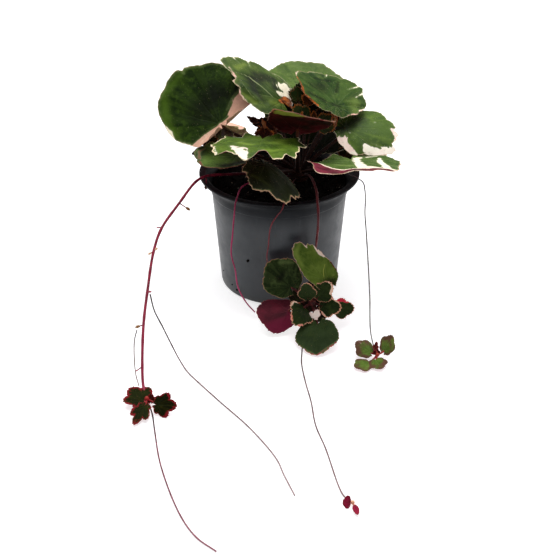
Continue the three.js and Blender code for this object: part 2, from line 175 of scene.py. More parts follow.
def lumps(centres, sizes, material, seed, squash=0.75):
    # Crumbs: rough little balls of 5 rings of 6 points, each dented, stretched and turned by seeded draws.
    rng = np.random.default_rng(seed)
    count = len(centres)
    rise = np.linspace(-1.25, 1.25, 5)[:, None]
    ball = circle(0, 0, np.cos(rise), np.sin(rise), turns(6))
    dents = rng.uniform(0.6, 1.25, (count, 30, 1))
    ball = ball.reshape(-1, 3) * dents * rng.uniform((0.7, 0.7, 0.6), (1.3, 1.3, 1.1), (count, 1, 3))
    a, b = rng.uniform(0, 6.28, (2, count))
    none, one = 0 * a, 1 + 0 * a
    turnZ = np.stack([np.cos(a), -np.sin(a), none, np.sin(a), np.cos(a), none, none, none, one], -1)
    turnX = np.stack([one, none, none, none, np.cos(b), -np.sin(b), none, np.sin(b), np.cos(b)], -1)
    ball = np.einsum("nij,njk,nlk->nli", turnZ.reshape(-1, 3, 3), turnX.reshape(-1, 3, 3), ball)
    ball = ball * np.array([1, 1, squash]) * np.asarray(sizes)[:, None, None] + centres[:, None]
    poles = np.stack([ball[:, :6].mean(1), ball[:, 24:].mean(1)], 1)
    points = np.concatenate([ball, poles], 1)
    base = np.arange(count)[:, None, None] * points.shape[1]
    faces = closedRows(np.zeros((5, 6, 3)))
    return {"points": points.reshape(-1, 3), "quads": (faces["quads"] + base).reshape(-1, 4),
            "tris": (faces["tris"] + base).reshape(-1, 3), "material": material}


def makeMesh(name, parts, smooth=False):
    # One mesh from the parts' arrays: all points, then all quads, then all triangles.
    starts = np.cumsum([0] + [len(p["points"]) for p in parts])[:-1]
    faces = [p[kind] + start for kind in ("quads", "tris") for p, start in zip(parts, starts)]
    corners = np.concatenate([f.reshape(-1) for f in faces])
    counts = np.concatenate([np.full(len(f), f.shape[1]) for f in faces])
    points = np.concatenate([p["points"] for p in parts])
    mesh = bpy.data.meshes.new(name)
    mesh.vertices.add(len(points))
    mesh.vertices.foreach_set("co", points.astype(np.float32).reshape(-1))
    mesh.loops.add(len(corners))
    mesh.loops.foreach_set("vertex_index", corners.astype(np.int32))
    mesh.polygons.add(len(counts))
    mesh.polygons.foreach_set("loop_start", (np.cumsum(counts) - counts).astype(np.int32))
    slots = [np.broadcast_to(p.get(kind + "Material", p["material"]), len(p[kind]))
             for kind in ("quads", "tris") for p in parts]
    mesh.polygons.foreach_set("material_index", np.concatenate(slots).astype(np.int32))
    mesh.polygons.foreach_set("use_smooth", np.full(len(counts), smooth))
    mesh.update(calc_edges=True)
    return mesh, corners


def makePiece(name, parts, materials, nodes, sharp=50):
    # Joins the parts in one smooth mesh, with their marks and leaf-plane coordinates kept on its points.
    mesh, corners = makeMesh(name, parts, True)
    for mark in sorted({m for p in parts for m in p.get("marks", {})}):
        values = [p.get("marks", {}).get(mark, np.zeros(len(p["points"]))) for p in parts]
        layer = mesh.attributes.new(mark, "FLOAT", "POINT")
        layer.data.foreach_set("value", np.concatenate(values).astype(np.float32))
    if any("uv" in p for p in parts):
        flat = np.concatenate([p.get("uv", np.zeros((len(p["points"]), 2))) for p in parts])
        layer = mesh.uv_layers.new(name="bladeMap")
        layer.data.foreach_set("uv", flat[corners].astype(np.float32).reshape(-1))
    mesh.set_sharp_from_angle(angle=sharp * degree)
    mesh.validate()
    for material in materials:
        mesh.materials.append(material)
    piece = addObject(name, mesh)
    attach(piece, "root")
    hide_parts(*nodes)
    return piece


# Materials. Colours are given as on a screen, 0 to 255, and the noises' scales are per metre.
def tint(red, green, blue):  # a screen colour as a linear colour
    screen = np.array([red, green, blue]) / 255
    linear = np.where(screen > 0.04045, ((screen + 0.055) / 1.055) ** 2.4, screen / 12.92)
    return (*[float(v) for v in linear], 1.0)


class Value:
    # What a node gives out. Sums with it become Math nodes of the same material.
    def __init__(self, finish, socket):
        self.finish, self.socket = finish, socket

    def __add__(self, other):
        return self.finish.math("ADD", self, other)

    def __sub__(self, other):
        return self.finish.math("SUBTRACT", self, other)

    def __mul__(self, other):
        return self.finish.math("MULTIPLY", self, other)

    def __truediv__(self, other):
        return self.finish.math("DIVIDE", self, other)


class Finish:
    # One material: its colour and its bumps so far, and short calls that add and link nodes.
    def __init__(self, name, roughness, specular=0.5):
        self.material = bpy.data.materials.new(name)
        self.material.use_nodes = True
        self.tree = self.material.node_tree
        self.shader = self.tree.nodes["Principled BSDF"].inputs
        self.shader["Roughness"].default_value = roughness
        self.shader["Specular IOR Level"].default_value = specular
        self.place = self.add("ShaderNodeTexCoord", {}, "Object")
        self.colour = self.normal = None

    def feed(self, socket, value):  # links a node's value, or sets a number or a screen colour
        if isinstance(value, Value):
            self.tree.links.new(value.socket, socket)
        else:
            socket.default_value = tint(*value) if socket.type == "RGBA" else value

    def add(self, kind, inputs, output=0, **settings):
        node = self.tree.nodes.new(kind)
        for key, value in settings.items():
            setattr(node, key, value)
        for key, value in inputs.items():
            self.feed(node.inputs[key], value)
        return Value(self, node.outputs[output])

    def mark(self, name):
        return self.add("ShaderNodeAttribute", {}, "Fac", attribute_name=name)

    def math(self, operation, *values):
        return self.add("ShaderNodeMath", dict(enumerate(values)), operation=operation)

    def noise(self, scale, detail=3.0, rough=0.5, stretch=None):
        place = self.place
        if stretch:
            place = self.add("ShaderNodeMapping", {"Vector": place, "Scale": stretch})
        inputs = {"Vector": place, "Scale": scale, "Detail": detail, "Roughness": rough}
        return self.add("ShaderNodeTexNoise", inputs)

    def band(self, value, low, high, start=0.0, end=1.0):  # smooth step between two values
        inputs = {"Value": value, "From Min": low, "From Max": high, "To Min": start, "To Max": end}
        return self.add("ShaderNodeMapRange", inputs, interpolation_type="SMOOTHSTEP")

    def patch(self, low, high, *noise, start=0.0, end=1.0, stretch=None):  # soft patches cut out of a noise
        return self.band(self.noise(*noise, stretch=stretch), low, high, start, end)

    def mix(self, share, first, second):
        return self.add("ShaderNodeMix", {0: share, 6: first, 7: second}, 2, data_type="RGBA")

    def paint(self, share, colour):  # lays a colour over what is there
        self.colour = self.mix(share, self.colour, colour)

    def bump(self, height, distance, strength):  # on top of the bumps made before
        under = {"Normal": self.normal} if self.normal else {}
        inputs = {"Height": height, "Distance": distance, "Strength": strength, **under}
        self.normal = self.add("ShaderNodeBump", inputs)

    def finish(self, roughness=None, specular=None):
        inputs = {"Base Color": self.colour, "Roughness": roughness, "Specular IOR Level": specular,
                  "Normal": self.normal}
        for name, value in inputs.items():
            if value:
                self.feed(self.shader[name], value)
        return self.material


def veins(f):
    # Vein strength from the leaf's own marks: main veins run to each lobe, side veins leave them in chevrons.
    wander = f.noise(70) - 0.5
    turn = f.math("FRACT", f.mark("lobeTurn") + wander * 0.35 + 0.5) - 0.5
    off = f.math("ABSOLUTE", turn) * f.mark("lobeSpan")  # millimetres to the main vein
    share = f.mark("share")
    main = f.band(off / f.band(share, 0.0, 1.0, 0.36, 0.1), 0.5, 1.9, 1.0, 0.0)
    main = main * f.band(share, 0.3, 0.95, 1.0, 0.15)
    run = f.mark("reach") - off * 1.1
    side = f.math("ABSOLUTE", f.math("FRACT", (run + wander * 3.0) / 3.6) - 0.5)
    return main, f.band(side, 0.0, 0.09, 1.0, 0.0)


def ragged(f, mark, scale, amount):  # a mark with a torn border
    return f.mark(mark) + (f.noise(scale, 3, 0.65) - 0.5) * amount


def paintDried(f, b):  # what both faces share: brown and orange tissue where the dry mark is above nought
    dried = f.mix(f.patch(0.35, 0.65, 300, 3, 0.6), b["dry"], b["dryShade"])
    f.paint(f.band(ragged(f, "dry", 360, 0.09), -0.012, 0.012), dried)


def bladeTop(name, b):
    # Upper face: mottled green with faint veins. The marks add cream, painted light (glow), painted shade,
    # pale ribs, a rolled flap and a rim.
    f = Finish(name, 0.5, b["gloss"])
    green, shade, light = b["greens"]
    main, side = veins(f)
    f.colour = f.mix(f.patch(0.38, 0.62, 48, 4, 0.6), green, shade)
    f.paint(f.band(f.mark("sector"), 0.45, 0.62) * b["sectors"], light)
    f.paint(f.patch(0.55, 0.75, 900, 2, 0.7) * 0.2, light)
    f.paint(f.patch(0.5, 0.66, 150, 5, 0.7) * 0.3, light)
    f.paint(side * 0.08, b["vein"])
    f.paint(main * b["veins"], b["vein"])
    # Painted light: the light green where the glow mark lies, brightening the blade where light falls on it.
    f.paint(f.band(ragged(f, "glow", 120, 0.6), 0.0, 1.0) * 0.8, light)
    # Painted shade: near-black laid where the shade mark lies, where neighbouring blades and folds shade the
    # blade.
    f.paint(f.band(ragged(f, "dark", 90, 0.5), 0.0, 0.9) * b["depth"], b["paintedShadeColour"])
    f.paint(f.band(f.mark("rib"), -0.006, 0.006) * 0.75, b["rib"])
    zone = ragged(f, "creamEdge", 330, b["ragged"])
    f.paint(f.band(zone, -0.06, 0.0) * 0.35, b["halo"])  # grey-green between the green and the cream
    blush = f.band(f.mark("blush") + f.noise(160) * 0.5, 0.35, 0.95)
    cream = f.mix(blush, b["cream"], b["pink"])
    cream = f.mix(f.patch(0.6, 0.68, 420, 2) * 0.18, cream, light)
    f.paint(f.band(zone, -0.008, 0.012), cream)
    flap = f.mix(f.patch(0.35, 0.65, 90, 4, 0.6), *b["unders"][:2])
    f.paint(f.band(f.mark("flush"), -0.01, 0.01), flap)
    rim = f.band(ragged(f, "share", 420, b["rimRag"]), 1 - b["rimWide"], 1 - 0.4 * b["rimWide"])
    f.paint(rim * f.patch(0.36, 0.5, 190, 2, start=0.25) * b["rimShare"], b["rim"])
    paintDried(f, b)
    f.bump(f.noise(95), 0.0016, 0.6)
    f.bump(f.noise(330) * 0.5 - main * 0.7 - side * 0.25, 0.00035, 0.7)
    f.bump(f.noise(1500, 3, 0.7), 0.00012, 0.5)
    return f.finish(f.patch(0.3, 0.7, 210, start=0.42, end=0.58))


def bladeUnder(name, b):
    # Underside: flushed colour with raised paler veins, darker dots and a rosy margin.
    f = Finish(name, 0.5, b["gloss"])
    under, underShade, underVein = b["unders"]
    main, side = veins(f)
    f.colour = f.mix(f.patch(0.35, 0.65, 60, 4, 0.6), under, underShade)
    f.paint(f.patch(0.58, 0.68, 700, 2) * 0.35, underShade)
    f.paint(side * 0.12, underVein)
    f.paint(main * b["underVeins"], underVein)
    # Where the glow mark lies: partly painted light, as on the upper face, and partly the blade's own colour.
    f.paint(f.band(ragged(f, "glow", 160, 0.5), 0.05, 0.45), b["underGlow"])
    f.paint(f.band(ragged(f, "creamEdge", 330, b["ragged"]), -0.008, 0.012), b["pink"])
    paintDried(f, b)
    f.bump(main + side * 0.3, 0.0003, 0.8)
    f.bump(f.noise(1300, 3, 0.7), 0.0001, 0.5)
    return f.finish(f.patch(0.3, 0.7, 210, start=0.45, end=0.6))


def stemFinish(name, colour, shade, pale, roughness=0.45, start=None):
    # Fleshy stem: streaks along its length, speckled, paler where the along mark nears its end, and, when a
    # start span is given, painted shade that darkens its start.
    f = Finish(name, roughness, 0.15)
    f.colour = f.mix(f.patch(0.35, 0.65, 260, 3, 0.6, stretch=(1, 1, 0.2)), colour, shade)
    f.paint(f.patch(0.5, 0.7, 1400, 2) * 0.3, pale)
    f.paint(f.band(f.mark("along"), 0.6, 1.0) * 0.5, pale)
    if start:
        # Painted shade: a runner's first stretch lies over the soil in the shade of the leaves.
        f.paint(f.band(f.mark("along"), *start, 0.85, 0.0), (20, 8, 8))
    f.bump(f.noise(900, 3, 0.6, (1, 1, 0.3)), 0.00012, 0.6)
    return f.finish(f.patch(0.3, 0.7, 400, 2, start=roughness - 0.06, end=roughness + 0.1))


def twoTone(name, roughness, specular, scale, detail, first, second):  # clouds of two colours
    f = Finish(name, roughness, specular)
    f.colour = f.mix(f.patch(0.35, 0.65, scale, detail), first, second)
    return f.finish()


def hairFinish(name, colour, other):
    return twoTone(name, 0.4, 0.4, 500, 2, colour, other)


def soilFinish():
    # Peat: near-black crumbs, brown fibres and a few pale specks.
    f = Finish("peat", 0.95, 0.04)
    f.colour = f.mix(f.patch(0.35, 0.7, 650, 6, 0.65), (4, 3, 2), (15, 12, 9))
    f.paint(f.patch(0.62, 0.7, 380, 4, 0.7, stretch=(1, 0.15, 1)) * 0.35, (60, 44, 30))
    f.paint(f.patch(0.735, 0.76, 520, 1, 0.4), (110, 106, 96))
    f.bump(f.noise(900, 8, 0.7), 0.0008, 0.9)
    return f.finish()


def potFinish():
    # Thin moulded plastic: blue-grey with cloudy dust, upright scuffs, and drips of soil stain under the lip
    # and at the foot, the lip's stain darkened further by painted shade. Painted shade makes it nearly black
    # towards the lip and inside, and a thin painted contact shadow darkens the foot.
    f = Finish("potPlastic", 0.46, 0.55)
    x, y, height = (f.add("ShaderNodeSeparateXYZ", {0: f.place}, axis) for axis in range(3))
    away = f.math("SQRT", x * x + y * y)
    dirtAndShade, black = (7, 6, 6), (6, 6, 7)
    f.colour = f.mix(f.patch(0.3, 0.7, 26, 5, 0.6), (12, 19, 26), (18, 27, 35))
    scuff = f.patch(0.6, 0.72, 240, 5, 0.75, stretch=(1, 1, 0.08))
    f.paint(scuff * 0.14, (110, 116, 120))
    foot, lip = f.band(height, 0.0, 0.014, 1.0, 0.0), f.band(height, 0.080, 0.0895)
    # Soil stain at the foot; on the lip, soil stain together with painted shade.
    grimeAndShade = f.patch(0.44, 0.62, 150, 6, 0.7) * f.math("MAXIMUM", foot * 0.75, lip * 0.6)
    flare = f.band(away, 0.0545, 0.0575, 1.0, 0.0) * f.band(height, 0.0845, 0.0875)
    wall = f.band(away - height * 0.0658, 0.0452, 0.0456, 1.0, 0.0)  # inwards of the sloping wall's middle
    # The inside of the lip and of the wall, painted near black below: painted shade inside the pot.
    inner = f.math("MAXIMUM", flare, wall)
    # Lays the soil stain, the lip's painted shade and the painted shade inside the pot in one near-black
    # colour.
    f.paint(f.math("MAXIMUM", grimeAndShade, inner * 0.95), dirtAndShade)
    # Painted shade: the wall darkens towards the lip, in the shade of the lip and the leaves.
    upper = f.band(height, 0.056, 0.088)
    f.paint(upper * 0.8, black)
    # Painted contact shadow: a thin dark band at the foot.
    f.paint(f.band(height, 0.0, 0.007, 0.7, 0.0), black)
    f.paint(f.patch(0.72, 0.75, 330, 1, 0.3) * 0.7, (24, 21, 18))
    f.bump(f.noise(700, 4, 0.6), 0.00008, 0.35)
    f.bump(scuff, 0.00005, 0.5)
    matt = f.band(f.math("MAXIMUM", upper, inner), 0.0, 1.0, 0.5, 0.1)
    return f.finish(f.patch(0.3, 0.7, 120, 5, 0.7, start=0.36, end=0.5), matt)


# Blades. The outline is a circle set off from the stalk, cut into lobes. Relief is added to it and it is then
# bent across and along, as the solids are, with puffed fields between the veins, pointed lobe tips and nicks
# on top. Lengths are in radii. Cuts and lifts go by the angle from the tip, in degrees: the outline's reach
# there, and how far the rim is raised. Folds and strokes follow points of (angle, percent of the way to the
# rim). A fold has a width and a height, and a stroke its half-widths, all in percent of the radius, and a
# cream stroke its blush from 0 to 1.
plain = {
    "width": 1, "offset": 0.62, "lobes": 10, "notch": 0.08, "sinus": 18, "valley": 0, "across": 0,
    "along": 0, "back": 0, "twist": 0, "wave": 0, "waves": 5, "phase": 0, "thickness": 0.5, "cadSteps": 4,
    "fine": 6, "rows": 34, "puff": 0.014, "ruffle": 0.008, "tip": 0.012, "teeth": 0.006, "cuts": {0: 1},
    "lifts": {0: 0}, "folds": (), "softness": 0.15, "greens": ((64, 88, 28), (44, 66, 20), (104, 126, 44)),
    "vein": (112, 134, 66), "veins": 0.22, "sectors": 0.14,
    "unders": ((140, 40, 62), (92, 20, 38), (170, 96, 96)), "underGlow": (150, 156, 62), "underVeins": 0.25,
    "cream": (240, 230, 205), "pink": (228, 176, 164), "halo": (120, 136, 84), "ragged": 0.06, "jag": 0.02,
    "blush": 0.2, "band": 0.004, "backZone": -9, "rim": (214, 184, 150), "rimShare": 0.7, "rimWide": 0.02,
    # On the next line, the colour (8, 10, 4) and the strength 0.85 after it are the painted shade laid by
    # shade strokes.
    "rimRag": 0.03, "paintedShadeColour": (8, 10, 4), "depth": 0.85, "rib": (150, 160, 110), "dry": (176, 92, 36),
    "dryShade": (70, 32, 18), "gloss": 0.12, "strokes": (),
}
# Kinds of blade, by shape and then by look. Each gives only what differs from a plain one.
hidden = {"cadSteps": 3, "fine": 5, "rows": 16}
small = {"lobes": 7, "cadSteps": 3, "fine": 6, "rows": 14, "thickness": 0.45, "puff": 0.02, "teeth": 0.012}
tiny = {**small, "rows": 12, "fine": 5}
lobed = {**tiny, "cadSteps": 4, "notch": 0.3, "teeth": 0.02}
teethed = {**tiny, "notch": 0.2, "teeth": 0.03, "fine": 8}
scrap = {**small, "teeth": 0.06, "notch": 0.2, "rows": 10, "sinus": 30}
dryLook = {
    "greens": ((70, 34, 14), (34, 16, 8), (150, 80, 30)),
    "unders": ((60, 24, 12), (30, 12, 8), (170, 96, 96)), "vein": (90, 50, 24), "rim": (190, 100, 44),
    "rimWide": 0.2, "rimRag": 0.2, "gloss": 0.06,
}
darkScrap = {**dryLook, "greens": ((26, 24, 10), (14, 14, 6), (50, 46, 20)), "rim": (120, 62, 34),
             "gloss": 0.02}
darkLook = {
    "greens": ((34, 46, 18), (22, 33, 11), (58, 72, 30)),
    "unders": ((140, 40, 70), (100, 26, 50), (170, 96, 96)), "vein": (54, 66, 32), "veins": 0.12,
    "cream": (236, 200, 176), "pink": (210, 110, 100), "rim": (222, 158, 130), "rimWide": 0.06,
    "rimRag": 0.12, "rimShare": 0.9, "gloss": 0.06,
}
redLook = {
    **darkLook, "greens": ((27, 33, 7), (18, 19, 5), (62, 60, 14)), "gloss": 0.02,
    "cream": (205, 80, 90), "pink": (190, 66, 92), "rim": (124, 24, 34), "rimWide": 0.2, "rimRag": 0.7,
    "strokes": (("cream", ((-70, 100), (-62, 100)), (2, 8), 1), ("cream", ((24, 98), (30, 100)), (6, 8), 1)),
}
brownLook = {**darkLook, "greens": ((94, 120, 46), (72, 98, 34), (130, 148, 72)), "vein": (110, 124, 70),
             "cream": (190, 120, 90), "rim": (96, 60, 52), "rimWide": 0.6, "rimRag": 0.4}


def blade(at, heading, rise, roll, radius, *kinds, **own):
    # One blade: where the stalk meets it in millimetres, the compass heading, rise and roll of its tip, and
    # its radius. What neither its kinds nor its own values give is a plain blade's.
    b = {**plain, "at": at, "heading": heading, "rise": rise, "roll": roll, "radius": radius}
    for kind in kinds:
        b.update(kind)
    return {**b, **own}


def lookUp(table, angle):  # straight lines between a table's angles
    return np.interp(angle / degree, list(table), list(table.values()))


def bend(run, height, curvature):  # rolls a strip onto a cylinder of radius 1 / curvature
    flat = np.abs(curvature) < 1e-6
    c = np.where(flat, 1, curvature)
    x, z = (1 / c + height) * np.sin(run * c), (1 / c + height) * np.cos(run * c) - 1 / c
    return np.where(flat, run, x), np.where(flat, height, z)


def bladePlan(b, angle, share):  # the outline before any bend, in radii: x across, y towards the tip
    outline = b["offset"] * np.cos(angle) + np.sqrt(1 - (b["offset"] * np.sin(angle)) ** 2)
    lobe = np.abs(np.cos(b["lobes"] * angle / 2))
    edge = outline * (1 - b["notch"] * (1 - lobe) + b["tip"] * (lobe**14 - 0.3))
    edge = edge * (1 + b["teeth"] * (np.sin(37 * angle + b["radius"]) + np.sin(61 * angle)))
    reach = share * edge * lookUp(b["cuts"], angle)
    return b["width"] * reach * np.sin(angle), reach * np.cos(angle), lobe


def strokeDepth(b, path, widths, x, y):
    # How far inside a stroke a point lies, in radii: the half-width there less the distance to the stroke's
    # path.
    angle, share = np.array(path, float).T
    px, py, _ = bladePlan({**b, "cuts": plain["cuts"]}, angle * degree, share / 100)
    half = np.interp(np.linspace(0, 1, len(px)), np.linspace(0, 1, len(widths)), np.array(widths) / 100)
    inside = np.full(np.shape(x), -9.0)
    for i in range(len(px) - 1):
        dx, dy = px[i + 1] - px[i], py[i + 1] - py[i]
        t = np.clip(((x - px[i]) * dx + (y - py[i]) * dy) / (dx * dx + dy * dy + 1e-9), 0, 1)
        here = half[i] + (half[i + 1] - half[i]) * t
        inside = np.maximum(inside, here - np.hypot(x - px[i] - t * dx, y - py[i] - t * dy))
    return inside


def bladePoints(b, angle, share, depth):
    # Points of a blade by angle, share of the way to the rim and depth under the upper face: the plan, the
    # relief added to it, both bends, and the turn to the tip's heading, rise and roll.
    angle, share = np.broadcast_arrays(np.asarray(angle, float), np.asarray(share, float))
    x, y, lobe = bladePlan(b, angle, share)
    relief = b["valley"] * (np.hypot(x, b["softness"]) - b["softness"]) + b["twist"] * x * y
    relief = relief + b["wave"] * share**3 * np.cos(b["waves"] * angle + b["phase"] * degree)
    relief = relief + b["puff"] * (1 - lobe) * share * (1.1 - share**3)
    relief = relief + b["ruffle"] * share**6 * np.sin(b["lobes"] * 1.5 * angle + b["radius"])
    relief = relief + share**4 * lookUp(b["lifts"], angle)
    for path, width, height in b["folds"]:
        relief = relief + height / 100 * np.exp(-((strokeDepth(b, path, (0,), x, y) * 100 / width) ** 2))
    x, z = bend(x, relief - depth / b["radius"], b["across"])
    y, z = bend(y, z, np.where((y < 0) & (b["back"] != 0), b["back"], b["along"]))
    heading, rise, roll = (b[k] * degree for k in ("heading", "rise", "roll"))
    level, zenith = np.array([math.cos(heading), math.sin(heading), 0]), np.array([0, 0, 1])
    tip = level * math.cos(rise) + zenith * math.sin(rise)
    up = -level * math.sin(rise) + zenith * math.cos(rise)
    normal = up * math.cos(roll) + np.cross(tip, up) * math.sin(roll)
    flat = x[..., None] * np.cross(tip, normal) + y[..., None] * tip + z[..., None] * normal
    return (np.array(b["at"], float) + flat * b["radius"]) * mm


def bladeNormal(b):  # from a point of the upper face to the point one millimetre above it
    return unit(bladePoints(b, 0, 0, -1) - bladePoints(b, 0, 0, 0))


def bladeEdge(b):  # where the blade ends at its gap: the solid's steps from the tip, and their angle
    half = round((180 - b["sinus"]) * b["cadSteps"] * b["lobes"] / 360)
    return half, half * 2 * math.pi / (b["lobes"] * b["cadSteps"])


def bladeMarks(b, angle, share, seed):
    # The painted marks. The cream zone is the margin, the part behind the stalk and the cream strokes, less
    # the green ones, and its border is torn along the veins. Crisp marks are depths in radii, soft ones
    # shares of the stroke.
    rng = np.random.default_rng(seed)
    sectors = np.linspace(-180, 180, 73)
    jag = np.interp(angle / degree, sectors, rng.uniform(-1, 1, len(sectors)))
    x, y, _ = bladePlan(b, angle, share)
    margin = share - 1 + b["band"] + jag * min(b["jag"], b["band"])
    cream = np.maximum(margin, b["backZone"] - y + 0.02 * jag)
    # Besides the cream zone, the marks hold a rolled flap's flush, dried tissue, painted shade, painted light
    # (glow) and pale ribs.
    marks = {kind: np.full_like(share, -1.0) for kind in ("flush", "dry", "dark", "glow", "rib")}
    blush = np.where(b["backZone"] > y, 0.75, b["blush"])
    for kind, path, widths, *pink in b["strokes"]:
        inside, widest = strokeDepth(b, path, widths, x, y), max(widths) / 100
        if kind == "cream":
            torn = inside + jag * 0.25 * widest
            cream = np.maximum(cream, torn)
            blush = np.where(torn > -0.02, pink[0], blush)
        elif kind == "green":
            cream = np.minimum(cream, -inside)
        else:
            marks[kind] = np.maximum(marks[kind], inside / (widest if kind in ("dark", "glow") else 1))
    lip = 0.035 - np.abs(marks["flush"] + 0.035)  # the pale edge of a rolled flap
    cream = np.where((marks["flush"] > -0.9) & (lip > cream), lip, cream)
    sector = np.interp(angle / degree, sectors, rng.uniform(0, 1, len(sectors))) * (0.6 + 0.4 * share)
    reach = np.hypot(x, y) * b["radius"]
    return {**marks, "share": share, "creamEdge": cream, "blush": blush, "sector": sector, "reach": reach,
            "lobeTurn": angle * b["lobes"] / (2 * math.pi), "lobeSpan": reach * 2 * math.pi / b["lobes"]}


def bladePart(b, seed, top=0, under=1):
    # A blade as a closed sheet: a grid of points on each face, a pole at the stalk, and a rim between the
    # faces. It is thickest at the stalk and halves towards the rim.
    half, limit = bladeEdge(b)
    rows, columns = b["rows"], 2 * half * b["fine"] + 1
    across, out = np.linspace(-limit, limit, columns), 1 - (1 - np.linspace(0.05, 1, rows)) ** 1.15
    share, angle = np.meshgrid(out, across, indexing="ij")
    thick = b["thickness"] * (0.5 + 0.5 * (1 - share**3) + 0.6 * np.exp(-((share / 0.12) ** 2)))
    faces = [bladePoints(b, 0, 0, 0), bladePoints(b, angle, share, 0 * share),
             bladePoints(b, 0, 0, b["thickness"] * 1.6), bladePoints(b, angle, share, thick)]
    size = 1 + rows * columns
    at = lambda r, c: 1 + r * columns + c
    c, r = np.arange(columns - 1), np.arange(rows - 1)
    quads = gridQuads(rows, columns, False, 1)
    fan = np.stack([0 * c, at(0, c + 1), at(0, c)], -1)
    backwards = np.arange(columns - 1, -1, -1)
    edge = np.concatenate([[0], at(r, columns - 1), at(rows - 1, backwards), at(r[::-1], 0)])
    after = np.roll(edge, -1)
    rim = np.stack([edge, edge + size, after + size, after], -1)
    x, y, _ = bladePlan(b, angle, share)
    flat = np.concatenate([[[0.5, 0.5]], np.stack([0.5 + x / 4, 0.5 + y / 4], -1).reshape(-1, 2)])
    marks = {}
    for name, v in bladeMarks(b, angle, share, seed).items():
        pole = v.flat[0] * (name not in ("reach", "lobeSpan", "share"))
        marks[name] = np.tile(np.concatenate([[pole], v.reshape(-1)]), 2)
    return {
        "points": np.concatenate([face.reshape(-1, 3) for face in faces]), "material": top, "marks": marks,
        "uv": np.concatenate([flat, flat]),
        "quads": np.concatenate([quads, quads[:, ::-1] + size, rim]),
        "quadsMaterial": np.repeat([top, under, top], [len(quads), len(quads), len(rim)]),
        "tris": np.concatenate([fan, fan[:, ::-1] + size]), "trisMaterial": np.repeat([top, under], len(fan)),
    }


def offFloor(aim, roots, low=2 * mm):  # turns up what would grow into the floor
    aim[:, 2] = np.where(roots[:, 2] < low, np.abs(aim[:, 2]), aim[:, 2])
    return aim


def bladeHairs(b, counts, length, width, material, seed):
    # Hairs stand on the upper face along its normal and reach outwards from the rim.
    rng = np.random.default_rng(seed)
    limit = bladeEdge(b)[1]
    angle = rng.uniform(-limit, limit, sum(counts))
    share = np.concatenate([rng.uniform(0.15, 0.97, counts[0]) ** 0.6, np.full(counts[1], 0.995)])
    place = lambda turn, inwards: bladePoints(b, angle + turn, share - inwards, 0 * share)
    here = place(0, 0)
    out = unit(here - place(0, 0.03))
    normal = unit(np.cross(unit(place(0.02, 0) - place(-0.02, 0)), out))
    onRim = (np.arange(sum(counts)) >= counts[0])[:, None]
    aim = np.where(onRim, out + 0.35 * normal, normal + 0.5 * out) + rng.normal(size=here.shape) * 0.3
    lengths = length * np.where(onRim[:, 0], 1.0, 0.8)
    return hairs(here - normal * 0.1 * mm, offFloor(aim, here), lengths, width, material, seed + 1)
